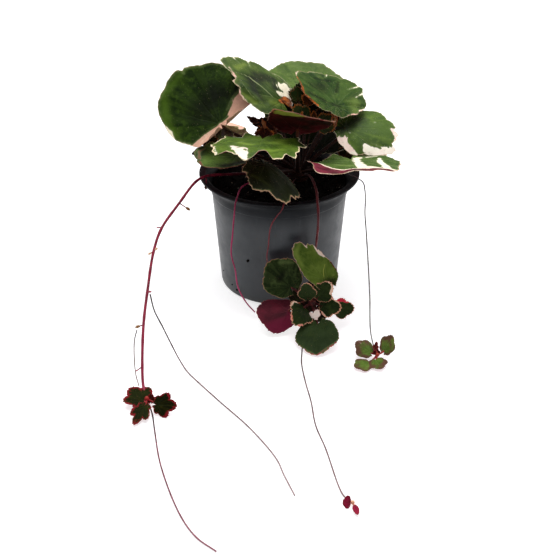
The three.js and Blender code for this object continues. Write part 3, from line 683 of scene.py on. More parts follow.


# In the strokes below, those of darkness are painted shade, where neighbouring blades and folds shade a
# blade, and the glow strokes are mostly painted light.
leaves = {
    "leaf_left_large": blade((-42, -10, 131), 131, 23, -35, 33, along=-0.25, back=-5, twist=-0.1, lobes=11,
        notch=0.035, teeth=0.002, tip=0.006, cuts={-70: 1, -60: 0.985, -52: 1, 3: 1, 5: 0.965, 8: 1, 17: 1.01,
        21: 0.985, 25: 1, 42: 1.05, 55: 1.05, 75: 1, 88: 1, 102: 1.12, 125: 1.12, 150: 1},
        greens=((30, 47, 11), (19, 34, 7), (70, 96, 27)),
        unders=((196, 150, 128), (176, 120, 106), (206, 160, 140)), vein=(60, 80, 30), gloss=0.03,
        pink=(205, 160, 138), backZone=0.01, depth=0.8, rimShare=0.55, rimWide=0.012,
        underGlow=(170, 140, 96),
        strokes=(("glow", ((-75, 95), (-50, 97), (-20, 97), (10, 98), (30, 98)), (10, 22, 20, 10, 6)),
        ("dark", ((-60, 10), (-10, 35), (25, 50), (55, 60)), (30, 55, 50, 40)),
        ("cream", ((73, 93), (80, 76), (88, 58), (100, 30)), (13, 20, 19, 6), 0.75),
        ("cream", ((-90, 20), (-90, 60), (-93, 100)), (2, 5, 7), 0.6),
        ("dark", ((50, 100), (60, 85), (64, 62)), (6, 13, 8)), ("glow", ((52, 67), (55, 60)), (5, 3)),
        ("glow", ((62, 50), (66, 50)), (3, 3)), ("cream", ((5, 100), (5, 92)), (2.2, 0.4), 0),
        ("cream", ((17, 102), (24, 99)), (2, 2), 0),
        ("cream", ((-49, 102), (-58, 97), (-67, 100)), (2, 6, 2), 0),
        ("cream", ((-72, 101), (-86, 100)), (1.5, 2.5), 0.1))),
    "leaf_top_folded": blade((2, 6, 142), 168, 46, -12, 30, width=0.85, across=0.35, along=0.25, wave=0.06,
        waves=4, phase=35, lobes=9, cuts={-60: 1, -53: 1, -43: 0.93, -37: 0.86, -33: 0.93, -30: 0.98,
        -26: 0.9, -22: 0.99, -17: 1.08, -10: 1.14, -3: 1.06, 5: 1, 7: 0.97, 9: 1, 24: 1, 27: 0.96, 30: 1,
        76: 1, 88: 1.09, 112: 1.06, 122: 1}, folds=((((-17, 80), (-14, 60), (-30, 50), (-60, 60)), 10, -3.5),
        (((-33, 80), (-43, 72), (-55, 73)), 6, 3)), greens=((62, 82, 28), (42, 62, 20), (108, 126, 50)),
        vein=(108, 126, 66), veins=0.3, rimShare=0.5, rim=(200, 190, 140), dry=(190, 104, 48), depth=0.82,
        strokes=(("cream", ((6, 102), (3, 84)), (2, 0.3), 0), ("cream", ((26, 102), (13, 74)), (3.5, 0.3), 0),
        ("cream", ((-14, 100), (-20, 99), (-24, 92), (-31, 97), (-37, 87), (-45, 94), (-56, 100)),
        (1, 1.6, 3.4, 1.4, 1.6, 1, 0.8), 0.55), ("rib", ((-18, 94), (-13, 78), (-10, 62), (-14, 50),
        (-17, 43), (-28, 28), (-38, 20)), (1.2, 1.4, 1, 0.8)),
        ("rib", ((43, 92), (50, 90), (67, 88), (80, 92)), (0.7, 0.7)),
        ("rib", ((-25, 84), (-34, 77), (-45, 74), (-56, 77), (-63, 82)), (0.9, 0.8, 0.4)),
        ("dark", ((12, 45), (-13, 60), (-36, 56), (-62, 60)), (24, 28, 26, 14)),
        ("dark", ((34, 45), (22, 52), (5, 55)), (24, 30, 26)), ("glow", ((-75, 30), (-62, 42)), (16, 12)),
        ("dark", ((25, 60), (50, 60), (40, 30)), (20, 24, 30)), ("glow", ((-8, 85), (8, 80)), (14, 12)),
        ("glow", ((-45, 88), (-60, 90)), (8, 10)), ("dark", ((60, 30), (20, 15)), (20, 15)),
        ("cream", ((66, 55), (84, 66), (98, 82)), (12, 24, 22), 0.05),
        ("cream", ((30, 17), (70, 27), (84, 48)), (3, 9, 16), 0.05), ("green", ((58, 36), (70, 40)), (5, 3)),
        ("dry", ((-60, 8), (115, 28), (128, 60)), (5, 14, 16)))),
    "leaf_back_dome": blade((18, 37, 140), 75, -8, 15, 33, along=-0.3, lobes=11, notch=0.03,
        greens=((74, 97, 36), (53, 76, 25), (112, 132, 62)), band=0.002, rimShare=0.3,
        strokes=(("dark", ((-150, 70), (170, 50), (120, 70)), (20, 25)),)),
    "leaf_right_funnel": blade((41, 0, 141), 100, 25, 18, 28, across=0.15, along=0.25, valley=0.14,
        wave=-0.03, waves=4, phase=40, lobes=9, sinus=0,
        cuts={-30: 1, 2: 1, 5: 0.97, 9: 1, 36: 1, 41: 0.96, 45: 1, 52: 1, 56: 0.97, 60: 1}, folds=((((10, 30),
        (20, 100)), 7, -3), (((45, 30), (48, 100)), 5, 3), (((-20, 30), (-15, 100)), 8, 2), (((75, 30),
        (80, 100)), 6, -3)), greens=((52, 76, 28), (32, 54, 19), (98, 118, 54)), vein=(90, 110, 58),
        depth=0.62, gloss=0.05, rim=(196, 160, 130), veins=0.3, rimShare=0.6, rimWide=0.015,
        strokes=(("dry", ((-48, 101), (-62, 100), (-80, 100), (-104, 100)), (2, 3, 3.5, 4)),
        ("cream", ((-34, 100), (-44, 100), (-50, 100)), (2, 1.4, 0.6), 0.3),
        ("dark", ((-47, 60), (-34, 46), (-10, 52)), (26, 36, 24)),
        ("dark", ((-82, 28), (-90, 10), (100, 15)), (7, 10, 8)), ("dark", ((-80, 40), (-72, 80)), (14, 12)),
        ("dark", ((14, 40), (18, 80)), (10, 8)), ("dark", ((84, 55), (84, 80)), (5, 7)),
        ("glow", ((55, 32), (66, 60), (105, 80)), (12, 24, 22)), ("dark", ((-20, 75), (5, 70)), (10, 12)),
        ("cream", ((34, 62), (41, 85), (43, 101)), (0.3, 1.6, 3), 0),
        ("cream", ((57, 68), (54, 99)), (0.3, 2), 0), ("cream", ((2, 80), (7, 98)), (0.8, 2), 0.1),
        ("cream", ((140, 100), (113, 99)), (1.2, 2), 0.9), ("cream", ((99, 100), (84, 100)), (3.5, 2), 0.3))),
    "leaf_right_cream": blade((48, -5, 126), 0, 0, 27, 23, across=0.4, along=0.1, lobes=9, cuts={-6: 1,
        0: 0.93, 4: 1.02, 12: 1.05, 20: 1.07, 25: 1.18, 31: 1.17, 36: 1.06, 45: 1.02, 60: 1, 80: 1.07,
        95: 1.12, 110: 1.08, 125: 1}, greens=((68, 93, 26), (47, 71, 19), (112, 136, 48)), ragged=0.1,
        cream=(250, 244, 228), pink=(240, 206, 196),
        strokes=(("cream", ((114, 84), (104, 88), (92, 93), (82, 97), (73, 105)), (8, 20, 25, 23, 14), 0.5),
        ("cream", ((50, 78), (45, 86), (38, 100), (28, 106)), (13, 19, 16, 10), 0.25),
        ("cream", ((78, 104), (62, 106), (45, 106), (26, 114), (14, 110)), (8, 9, 13, 12, 3), 0.3),
        ("green", ((65, 50), (64, 80), (65, 103)), (20, 15, 9)), ("green", ((38, 70), (33, 90)), (6, 3)),
        ("green", ((20, 85), (26, 100)), (8, 4)),
        ("cream", ((-3, 88), (3, 97), (10, 106), (20, 110)), (3, 9, 8, 3), 0.5),
        ("cream", ((-17, 66), (-16, 64)), (1.4, 1.4), 0), ("cream", ((60, 22), (64, 20)), (1.2, 1), 0),
        ("dark", ((-50, 45), (-170, 15), (130, 50)), (40, 42, 30)))),
    "leaf_right_low": blade((50, -30, 112), -88, 9, 4, 32, across=-0.15, along=-0.13, wave=0.06, phase=60,
        lobes=11, lifts={-110: 0, -88: -0.07, -70: -0.1, -50: -0.08, -27: -0.13, -10: -0.08, 4: 0, 35: 0,
        56: 0.06, 70: 0}, greens=((70, 96, 32), (48, 74, 22), (112, 132, 66)),
        unders=((116, 34, 52), (66, 14, 26), (170, 96, 96)), cream=(248, 236, 214), pink=(226, 150, 150),
        ragged=0.09, blush=0.3, strokes=(("flush", ((56, 100), (52, 90), (41, 83), (30, 81), (19, 87),
        (11, 88), (5, 80), (-5, 84), (-9, 100)), (3, 14, 22, 24, 19, 17, 21, 15, 4)),
        ("cream", ((-105, 25), (-60, 12), (-20, 28), (-10, 50), (-8, 75)), (10, 8, 8, 10, 12), 0.1),
        ("cream", ((-9, 70), (-14, 80), (-22, 92), (-32, 102)), (12, 20, 20, 5), 0.25),
        ("cream", ((-74, 66), (-52, 62), (-36, 76), (-27, 92)), (4, 7, 9, 8), 0.15),
        ("cream", ((-96, 50), (-90, 75)), (3, 3), 0.1),
        ("flush", ((-7, 98), (-15, 98), (-22, 100), (-29, 102)), (20, 20, 22, 10)),
        ("glow", ((40, 40), (5, 40)), (12, 12)))),
    "leaf_front_bright": blade((-12, -24, 125), -95, 7, 0, 34, wave=0.04, waves=8, phase=22, lobes=11,
        notch=0.11, teeth=0.01, cuts={-76: 1, -60: 0.91, -52: 0.9, -44: 0.94, -36: 0.92, -31: 1, -27: 0.86,
        -22: 0.94, -14: 1.02, -10: 0.84, -3: 0.84, 1: 0.98, 5: 1.02, 17: 0.9, 27: 0.86, 31: 1.02, 38: 1,
        45: 1}, lifts={-49: 0, -36: 0.03, -31: 0, -27: 0.06, -22: 0, -14: -0.01, -10: 0.09, -3: 0.09,
        5: -0.01, 17: 0.03, 27: 0.08, 31: 0, 45: 0}, greens=((74, 98, 24), (54, 78, 17), (116, 140, 50)),
        vein=(114, 132, 60), ragged=0.07, rim=(236, 214, 176), rimWide=0.035, rimShare=0.85,
        cream=(240, 226, 212), pink=(236, 186, 176),
        strokes=(("cream", ((34, 60), (25, 60), (15, 78), (8, 92), (5, 100)), (10, 17, 14, 8, 5), 0.2),
        ("green", ((29, 52), (30, 58)), (3, 1)), ("green", ((18, 60), (14, 66)), (3, 1)),
        ("cream", ((62, 100), (45, 100), (30, 100)), (0.6, 1.4, 2), 0.1),
        ("cream", ((-4, 86), (-10, 87)), (3, 4), 0.2), ("cream", ((-27, 86), (-33, 97)), (1, 1), 0.3),
        ("dark", ((-100, 95), (-66, 97), (-50, 90)), (8, 14, 10)), ("glow", ((-10, 60), (-30, 60)), (16, 12)),
        ("glow", ((-30, 22), (-55, 40), (-80, 52)), (16, 22, 20)), ("glow", ((20, 35), (50, 50)), (12, 12)))),
    "leaf_left_low": blade((-31, -22, 111), -142, -7, -5, 19, across=-0.5, along=-0.2, cuts={-60: 1,
        -39: 0.86, -15: 0.88, 0: 0.94, 10: 1.02, 24: 1.09, 38: 1.08, 48: 1.13, 75: 1.16, 95: 1},
        greens=((78, 104, 35), (54, 77, 24), (106, 132, 56)),
        unders=((96, 40, 34), (92, 20, 38), (170, 96, 96)), rimShare=0.6, rim=(86, 56, 38),
        cream=(110, 84, 58), pink=(110, 66, 50),
        strokes=(("cream", ((50, 100), (36, 98), (20, 97)), (2, 5, 5), 0.1),
        ("cream", ((12, 95), (2, 92)), (4, 5), 0.95),
        ("flush", ((-5, 94), (-20, 88), (-39, 86), (-60, 100)), (1, 2, 3, 3)),
        ("dark", ((2, 95), (24, 100), (48, 105)), (14, 32, 30)), ("dark", ((-25, 60), (-70, 60)), (35, 40)))),
    # Its near-black greens are partly painted shade, as it hangs under the leaves above.
    "leaf_front_hanging": blade((-10, -42, 114), -60, -5, -20, 25, width=0.9, across=0.7, along=0.35, lobes=9,
        notch=0.11, teeth=0.01, cuts={-50: 1, -37: 0.98, -17: 1.01, -10: 0.87, -3: 0.97, 7: 1, 17: 1.01,
        23: 0.92, 33: 0.96, 43: 1, 62: 1, 66: 0.95, 71: 0.88, 76: 1, 80: 1},
        greens=((24, 31, 10), (13, 18, 6), (46, 54, 22)), gloss=0.08, vein=(60, 58, 36), rim=(176, 140, 112),
        cream=(190, 160, 128), pink=(170, 110, 96), rimWide=0.03, rimShare=0.9, rib=(84, 78, 60),
        strokes=(("rib", ((-163, 20), (-17, 18), (-20, 43), (-27, 62), (-40, 85)), (1, 1.2)),
        ("glow", ((-38, 60), (-42, 85)), (12, 12)), ("glow", ((55, 80), (20, 80)), (10, 8)),
        ("cream", ((73, 93), (68, 90)), (2, 3), 0.4), ("cream", ((-7, 93), (-12, 90)), (2, 2), 0.4),
        ("cream", ((40, 99), (26, 95), (22, 94)), (1.5, 2, 3), 0.4))),
    "leaf_left_dark": blade((-40, 5, 106), -158, -1, 7, 16, hidden, lobes=9,
        greens=((16, 22, 10), (9, 13, 6), (26, 34, 16)), gloss=0.03, rim=(70, 46, 36), rimShare=0.4,
        band=-0.1),
    "leaf_left_small": blade((-42.5, -16.7, 123.2), 27, 10, 35, 6.6, small,
        greens=((58, 34, 24), (34, 22, 16), (90, 60, 40)),
        unders=((110, 62, 50), (62, 32, 26), (130, 80, 66)), rim=(140, 90, 70), rimShare=0.4),
    "leaf_young_front": blade((13, -10, 127), -81, 43, -8, 24, across=-0.2, along=0.2, twist=0.1, lobes=9,
        cuts={0: 1, 8: 1.05, 25: 1.07, 38: 1.02, 44: 0.96, 50: 1},
        greens=((96, 108, 36), (70, 88, 28), (140, 144, 62)),
        unders=((78, 20, 24), (30, 21, 12), (98, 36, 32)), rim=(190, 96, 86), rimWide=0.03,
        underGlow=(136, 144, 58), pink=(190, 120, 92), underVeins=0.12, dry=(150, 34, 44),
        dryShade=(104, 22, 30), strokes=(("glow", ((41, 90), (28, 91), (14, 90), (0, 93)), (12, 26, 26, 10)),
        ("cream", ((44, 98), (34, 107), (24, 109)), (3, 2, 1), 0.8),
        ("cream", ((4, 90), (-6, 95), (-16, 100)), (1.2, 1.4, 1), 0.2),
        ("cream", ((-33, 99), (-42, 97), (-52, 100)), (3, 7, 3), 0.2),
        ("dry", ((2, 86), (-14, 96), (-30, 97)), (2, 5, 3)), ("dry", ((42, 93), (36, 90)), (3, 2)))),
    "leaf_young_middle": blade((18, 2, 129), 154, 55, -52, 8, small, teeth=0.05, notch=0.16,
        greens=((40, 54, 20), (20, 26, 10), (80, 84, 34)), unders=((70, 30, 16), (36, 18, 10), (170, 96, 96)),
        rim=(178, 92, 38), rimWide=0.12, rimRag=0.12),
    "leaf_young_right": blade((30, -2, 125), 5, 44, 54, 8, small, teeth=0.05, notch=0.16,
        greens=((44, 54, 22), (24, 28, 12), (92, 92, 40)), unders=((80, 30, 20), (40, 18, 12), (170, 96, 96)),
        rim=(196, 104, 50), rimWide=0.12, rimRag=0.12),
    "leaf_young_left": blade((-3, 0, 124), 180, 10, 70, 10, small, teeth=0.03, notch=0.14, cuts={-90: 1,
        -70: 0.9, -60: 1.02, -48: 0.82, -30: 1.06, -21: 1.1, -10: 0.84, 0: 1.06, 9: 0.8, 21: 1.02, 34: 0.84,
        47: 1.04, 60: 0.82, 75: 1}, greens=((54, 24, 14), (30, 16, 10), (120, 50, 26)),
        unders=((66, 20, 14), (30, 12, 10), (90, 34, 24)), rim=(206, 110, 60), dry=(220, 120, 60),
        dryShade=(120, 44, 26), strokes=(("dry", ((2, 82), (12, 60)), (5, 3)),
        ("dry", ((34, 84), (24, 50)), (7, 3)), ("dry", ((60, 84), (50, 55)), (6, 3)),
        ("dry", ((-48, 84), (-40, 60)), (5, 2)), ("dry", ((-12, 86), (-14, 75)), (4, 2)),
        ("dry", ((-28, 68), (-4, 48)), (9, 6)), ("dry", ((-74, 82), (-62, 42)), (8, 5)))),
    "leaf_back_left": blade((-37, 26, 108), 140, 2, 5, 25, hidden,
        greens=((70, 52, 26), (48, 28, 16), (150, 140, 90)), pink=(216, 176, 156), gloss=0.03,
        strokes=(("cream", ((40, 80), (52, 92), (66, 95), (70, 78)), (12, 14, 12, 10), 0.7),
        ("glow", ((56, 72), (64, 85)), (6, 8)), ("cream", ((-40, 90), (-60, 95)), (8, 5), 0.4))),
    # Its near-black greens are painted shade, deep under the leaves in front.
    "leaf_back_right": blade((34, 23, 101.5), 42, 22, -4, 25, hidden,
        greens=((15, 20, 8), (8, 11, 4), (24, 30, 12)), gloss=0.02, vein=(30, 34, 18), rim=(70, 50, 36),
        rimShare=0.4, strokes=(("cream", ((10, 95), (30, 95)), (6, 8), 0.4),)),
    # Its near-black greens are painted shade, deep under the leaves in front.
    "leaf_back_middle": blade((12, 30, 105), 95, 42, 0, 24, hidden,
        greens=((22, 27, 10), (11, 14, 5), (34, 42, 16)), gloss=0.02, vein=(36, 42, 20), rim=(90, 56, 36),
        rimShare=0.4, strokes=(("cream", ((-60, 90), (-80, 95)), (8, 6), 0.4),)),
    "leaf_right_back": blade((56, 16, 102), 4, -8, 4, 17, hidden, lobes=9,
        strokes=(("cream", ((20, 95), (45, 90)), (8, 10), 0.3),)),
}
# Hairs of the largest blades. Smaller blades have fewer, and those behind the others only a share of them.
leafHair = {"face": 170, "rim": 130, "length": 1.5 * mm, "width": 0.09 * mm, "fullSize": 28, "behind": 0.3}


def makeLeaves():
    bladeHair = hairFinish("bladeHair", (190, 180, 150), (170, 120, 104))
    for number, (name, b) in enumerate(leaves.items()):
        share = min(1, b["radius"] / leafHair["fullSize"]) ** 2
        share *= leafHair["behind"] if b["rows"] == hidden["rows"] else 1
        counts = (int(leafHair["face"] * share) + 8, int(leafHair["rim"] * share) + 20)
        fur = bladeHairs(b, counts, leafHair["length"], leafHair["width"], 2, 700 + number)
        materials = [bladeTop(name + "_top", b), bladeUnder(name + "_under", b), bladeHair]
        makePiece(name + "_blade", [bladePart(b, 40 + number), fur], materials, [name])


makeLeaves()
print("leaves done")

# Crown: a short stub in the soil with every leaf stalk grown out of it, and dried bracts and old leaves
# between them.
crown = {
    "at": (14, 2), "soilTop": 84, "radius": 8, "rise": 7, "sides": 40,
    "profile": [(6.0, 70.4), (6.6, 72), (8.0, 84), (7.9, 86), (7.2, 88.2), (5.6, 90), (3.2, 91)],
    "stalk": 1.3, "youngStalk": 0.8, "young": 12, "scrapStalk": (0.7, 0.45), "seat": 0.25, "start": 0.4,
    "leave": 0.35, "arrive": 0.22, "steps": 44, "hairs": 90, "hairLength": 1.8 * mm, "hairWidth": 0.1 * mm,
}
scraps = [
    blade((33, 7, 129), 90, 58, 0, 6.5, scrap, darkScrap),
    blade((21, 8, 140), 80, 60, 10, 5.5, scrap, dryLook),
    blade((13.5, 10, 142.5), 100, 60, 0, 5.5, scrap, darkScrap,
          greens=((34, 50, 22), (20, 31, 13), (50, 46, 20)), rimWide=0.08),
    blade((14.5, 13, 140), 90, 58, 0, 8, scrap, darkScrap, greens=((30, 42, 19), (18, 27, 12), (50, 46, 20)),
          rimWide=0.05),
    blade((-15, 2, 127), 175, 30, 50, 6, scrap, dryLook, width=0.8,
          greens=((44, 14, 10), (22, 9, 7), (90, 36, 20)), rim=(96, 34, 26), rimWide=0.1),
    blade((39.8, -3, 127.6), 95, 72, 10, 5.5, scrap, dryLook, width=0.45,
          greens=((150, 44, 34), (104, 26, 24), (236, 186, 140))),
    blade((-10.4, -6, 127.3), 125, 56, 0, 3.6, scrap, dryLook, width=0.42,
          greens=((206, 130, 74), (150, 70, 40), (240, 200, 150))),
    blade((-3.5, -6, 129.3), 110, 58, 0, 2.4, scrap, dryLook, width=0.7,
          greens=((214, 140, 104), (150, 70, 50), (240, 200, 160))),
    blade((15.5, 0, 128), 70, 70, 0, 5, scrap, dryLook, width=0.4,
          greens=((180, 92, 38), (104, 44, 20), (236, 160, 90))),
    blade((25, 0, 131), 100, 70, 0, 3.6, scrap, dryLook, width=0.6),
    blade((-11, -5, 117.5), 90, 58, 0, 6, scrap, dryLook, width=1.2,
          greens=((56, 20, 14), (26, 10, 8), (110, 44, 22))),
    blade((40, 3, 130), 90, 58, 0, 5, scrap, darkScrap),
    blade((50, 6, 98), 70, 58, 0, 7, scrap, darkScrap),
    blade((-50.5, -9, 114.5), 100, 58, 0, 6, scrap, darkScrap, width=1.1),
]


def stalkPath(b):
    # Cubic curve that leaves the crown upwards and meets the underside of the blade square on.
    normal = bladeNormal(b)
    end = np.array(b["at"], float) - normal * crown["seat"]
    root = np.array([*crown["at"], crown["soilTop"] + crown["rise"] / 2])
    run = end - root
    outward = unit(run * (1, 1, 0)) * crown["radius"] * crown["start"]
    root = root + outward
    leave = root + outward + (0, 0, crown["leave"] * run[2])
    arrive = end - normal * crown["arrive"] * np.linalg.norm(run)
    return bezier([root, leave, arrive, end], crown["steps"]) * mm


def tubeHairs(path, radius, count, length, width, material, seed):
    # Hairs stand square on a tube, at seeded places along it and round it.
    rng = np.random.default_rng(seed)
    index = rng.uniform(0.05, 0.97, count) * (len(path) - 1)
    low = index.astype(int)
    centre = path[low] + (path[low + 1] - path[low]) * (index - low)[:, None]
    tangent = unit(path[low + 1] - path[low])
    aim = offFloor(unit(np.cross(tangent, rng.normal(size=(count, 3)))), centre)
    return hairs(centre + aim * radius * 0.8, aim + 0.25 * tangent, length, width, material, seed + 1)


def makeCrown():
    turn = turns(crown["sides"])
    radius, height = (np.array(v)[:, None] for v in zip(*crown["profile"]))
    radius = radius * (1 + 0.03 * np.sin(7 * turn + height))
    parts = [closedRows(circle(*crown["at"], radius, height, turn) * mm)]
    for number, b in enumerate(leaves.values()):
        path = stalkPath(b)
        radius = (crown["youngStalk"] if b["radius"] < crown["young"] else crown["stalk"]) * mm
        t = np.linspace(0, 1, len(path))
        swell = 0.25 * np.exp(-8 * t) - 0.12 * ease(0.2, 0.9, t) + 0.04 * np.sin(40 * t + number)
        fur = (crown["hairs"], crown["hairLength"], crown["hairWidth"])
        parts += [sweep(path, radius * (1 + swell), 12), tubeHairs(path, radius, *fur, 1, 300 + number)]
    # The stalks' near-black red-browns are partly their own colour and partly painted shade of the leaves
    # above them.
    skin = stemFinish("stalkSkin", (34, 11, 7), (15, 6, 4), (112, 54, 24), 0.6)
    materials = [skin, hairFinish("stalkHair", (74, 30, 20), (44, 16, 12))]
    for number, b in enumerate(scraps):
        top, label = len(materials), f"scrap_{number + 1}"
        materials += [bladeTop(label + "_top", b), bladeUnder(label + "_under", b)]
        path = stalkPath(b)
        parts.append(bladePart(b, 260 + number, top, top + 1))
        parts.append(sweep(path, np.linspace(*crown["scrapStalk"], len(path)) * mm, 8))
    makePiece("crown_stalks", parts, materials, ["crown"])


makeCrown()
print("crown and stalks done")

# Pot: one turned shell. Each corner (radius, height, rounding) of the profile is rounded by an arc of points.
# Specks of soil stick to the wall (degrees round it, height, size), and drain holes are cut through the
# floor.
pot = {
    "profile": [(46, 0, 1.6), (51, 76, 0.4), (51.6, 76.6, 0.4), (52, 83, 2), (55, 87, 2), (60, 89.6, 0.5),
                (60, 91, 0.5), (55, 91, 1.5), (50.7, 84.4, 2), (49.7, 76, 0.5), (44.7, 2, 1.2)],
    "sides": 192, "longestStep": 4, "sag": 0.12, "drainRadius": 4, "drainRing": 31, "drainCount": 6,
    "drillSides": 24, "drillEnds": (-3, 5),
    "specks": ((-118.5, 37, 1.2), (-79.5, 78, 0.7), (-152, 20.5, 0.8), (-162, 8.5, 0.9), (-146, 11, 0.8),
               (-134.5, 5.5, 1.1), (-130.5, 4, 1.0), (-164.5, 18.5, 0.8), (-157, 14, 0.5), (-141, 8, 0.6)),
}


def roundedProfile(corners, steps=5):
    # Each corner becomes a quadratic arc between the two points that lie its radius away along its sides, and
    # long straight stretches are split.
    flat = [np.array(corner[:2], float) for corner in corners]
    flat = [flat[0] * (0, 1), *flat, flat[-1] * (0, 1)]
    points = flat[:1]
    for before, here, after, (*_, radius) in zip(flat, flat[1:], flat[2:], corners):
        reach = lambda side: here + unit(side - here) * min(radius, np.linalg.norm(side - here) * 0.45)
        a, b = reach(before), reach(after)
        points += [(1 - t) ** 2 * a + 2 * t * (1 - t) * here + t * t * b for t in np.linspace(0, 1, steps)]
    points.append(flat[-1])
    split = []
    for a, b in zip(points, points[1:]):
        count = 1 + int(np.linalg.norm(b - a) // pot["longestStep"])
        split.append(a + (b - a) * np.linspace(0, 1, count, endpoint=False)[:, None])
    return np.concatenate(split)[1:]


def wallRadius(height):  # the outside of the wall, on a straight line from the foot through the step
    (foot, _, _), (step, rise, _) = pot["profile"][:2]
    return foot + (step - foot) / rise * height


def makePot():
    profile = roundedProfile(pot["profile"])
    turn = turns(pot["sides"])
    radius, height = profile[:, :1], profile[:, 1:]
    sag = pot["sag"] * np.sin(3 * turn + 0.5) * ease(40, 91, height)  # the thin wall isn't quite round
    shell = closedRows(circle(0, 0, radius + sag * (radius > 20), height, turn) * mm)
    around, level, size = np.array(pot["specks"]).T
    away = np.minimum(wallRadius(level), pot["profile"][1][0]) + 0.1 * size  # no farther out than the step
    crumbs = lumps(circle(0, 0, away, level, around * degree) * mm, size * mm, 1, 81, 1.0)
    piece = makePiece("pot_shell", [shell, crumbs], [potFinish(), peat], ["pot"], 40)
    level = np.array(pot["drillEnds"])[:, None]
    middles = circle(0, 0, pot["drainRing"], 0, turns(pot["drainCount"]) + math.pi / pot["drainCount"])
    holes = [circle(x, y, pot["drainRadius"], level, turns(pot["drillSides"])) for x, y, _ in middles]
    cutHoles(piece, [closedRows(hole * mm) for hole in holes])


def cutHoles(piece, drills):
    # Cuts the drills' shapes out of the piece and keeps the result as plain mesh.
    cutter = addObject("drills", makeMesh("drills", drills)[0])
    cut = piece.modifiers.new("drains", "BOOLEAN")
    cut.operation, cut.solver, cut.object = "DIFFERENCE", "EXACT", cutter
    bpy.context.view_layer.update()
    result = bpy.data.meshes.new_from_object(piece.evaluated_get(bpy.context.evaluated_depsgraph_get()))
    piece.modifiers.clear()
    piece.data = result
    bpy.data.objects.remove(cutter)


peat = soilFinish()
makePot()
print("pot done")

# Soil: rings that run from the bottom of the crown's hole, up and over the top, and down inside the wall.
soil = {"top": 84, "relief": 0.8, "edgeDrop": 1, "bottom": 2.3, "inset": 1.6, "sideRings": (76, 50, 25),
        "holeDepth": 14.3, "holeRadius": 8.3, "columns": 160, "rings": 36, "crumbs": 900, "spread": 47,
        "clear": 9, "pale": 14, "paleSize": 0.55, "paleRise": 0.6}


def soilHeight(x, y, share):
    # Lumps of the solid, with finer unrest on top, flat at the wall.
    lump = np.sin(0.31 * x + 1.1) * np.cos(0.27 * y) + 0.6 * np.sin(0.53 * y - 0.41 * x + 2)
    fine = 0.35 * ripple(1.6 * x, 1.6 * y, 5) + 0.2 * ripple(4.1 * x, 4.1 * y, 6)
    return soil["top"] - soil["edgeDrop"] * share**4 + (soil["relief"] * lump + fine) * ease(1.0, 0.9, share)


def makeSoil():
    inside = lambda z: wallRadius(z) - soil["inset"]
    edge = inside(soil["top"] - soil["edgeDrop"])
    turn = turns(soil["columns"])
    cx, cy = crown["at"]
    floor = soil["top"] - soil["holeDepth"]
    hole = [circle(cx, cy, radius, floor, turn) for radius in (2, soil["holeRadius"])]
    t = np.linspace(0, 1, soil["rings"])[:, None]
    top = circle(cx * (1 - t), cy * (1 - t), soil["holeRadius"] * (1 - t) + edge * t, 0, turn)
    top[..., 2] = soilHeight(top[..., 0], top[..., 1], np.hypot(top[..., 0], top[..., 1]) / edge)
    side = [circle(0, 0, inside(z), z, turn) for z in (*soil["sideRings"], soil["bottom"])]
    rows = np.array([*hole, *top, *side, circle(0, 0, 5, soil["bottom"], turn)])[::-1]
    rng = np.random.default_rng(12)
    away = soil["spread"] * np.sqrt(rng.uniform(0.02, 1, soil["crumbs"]))
    around = rng.uniform(0, 6.28, soil["crumbs"])
    x, y = away * np.cos(around), away * np.sin(around)
    clear = np.hypot(x - cx, y - cy) > soil["clear"]
    x, y = x[clear], y[clear]
    size = rng.uniform(0.35, 1.2, len(x)) ** 1.4
    place = np.stack([x, y, soilHeight(x, y, np.hypot(x, y) / edge) + 0.25 * size], -1)
    crumbs = lumps(place * mm, size * mm, 0, 13)
    onTop = place[: soil["pale"]] + (0, 0, soil["paleRise"])
    pale = lumps(onTop * mm, np.full(len(onTop), soil["paleSize"]) * mm, 1, 14)
    grit = twoTone("paleGrit", 0.8, 0.5, 600, 4, (190, 186, 176), (120, 112, 100))
    makePiece("soil_fill", [closedRows(rows * mm), crumbs, pale], [peat, grit], ["soil"], 80)


makeSoil()
print("soil done")

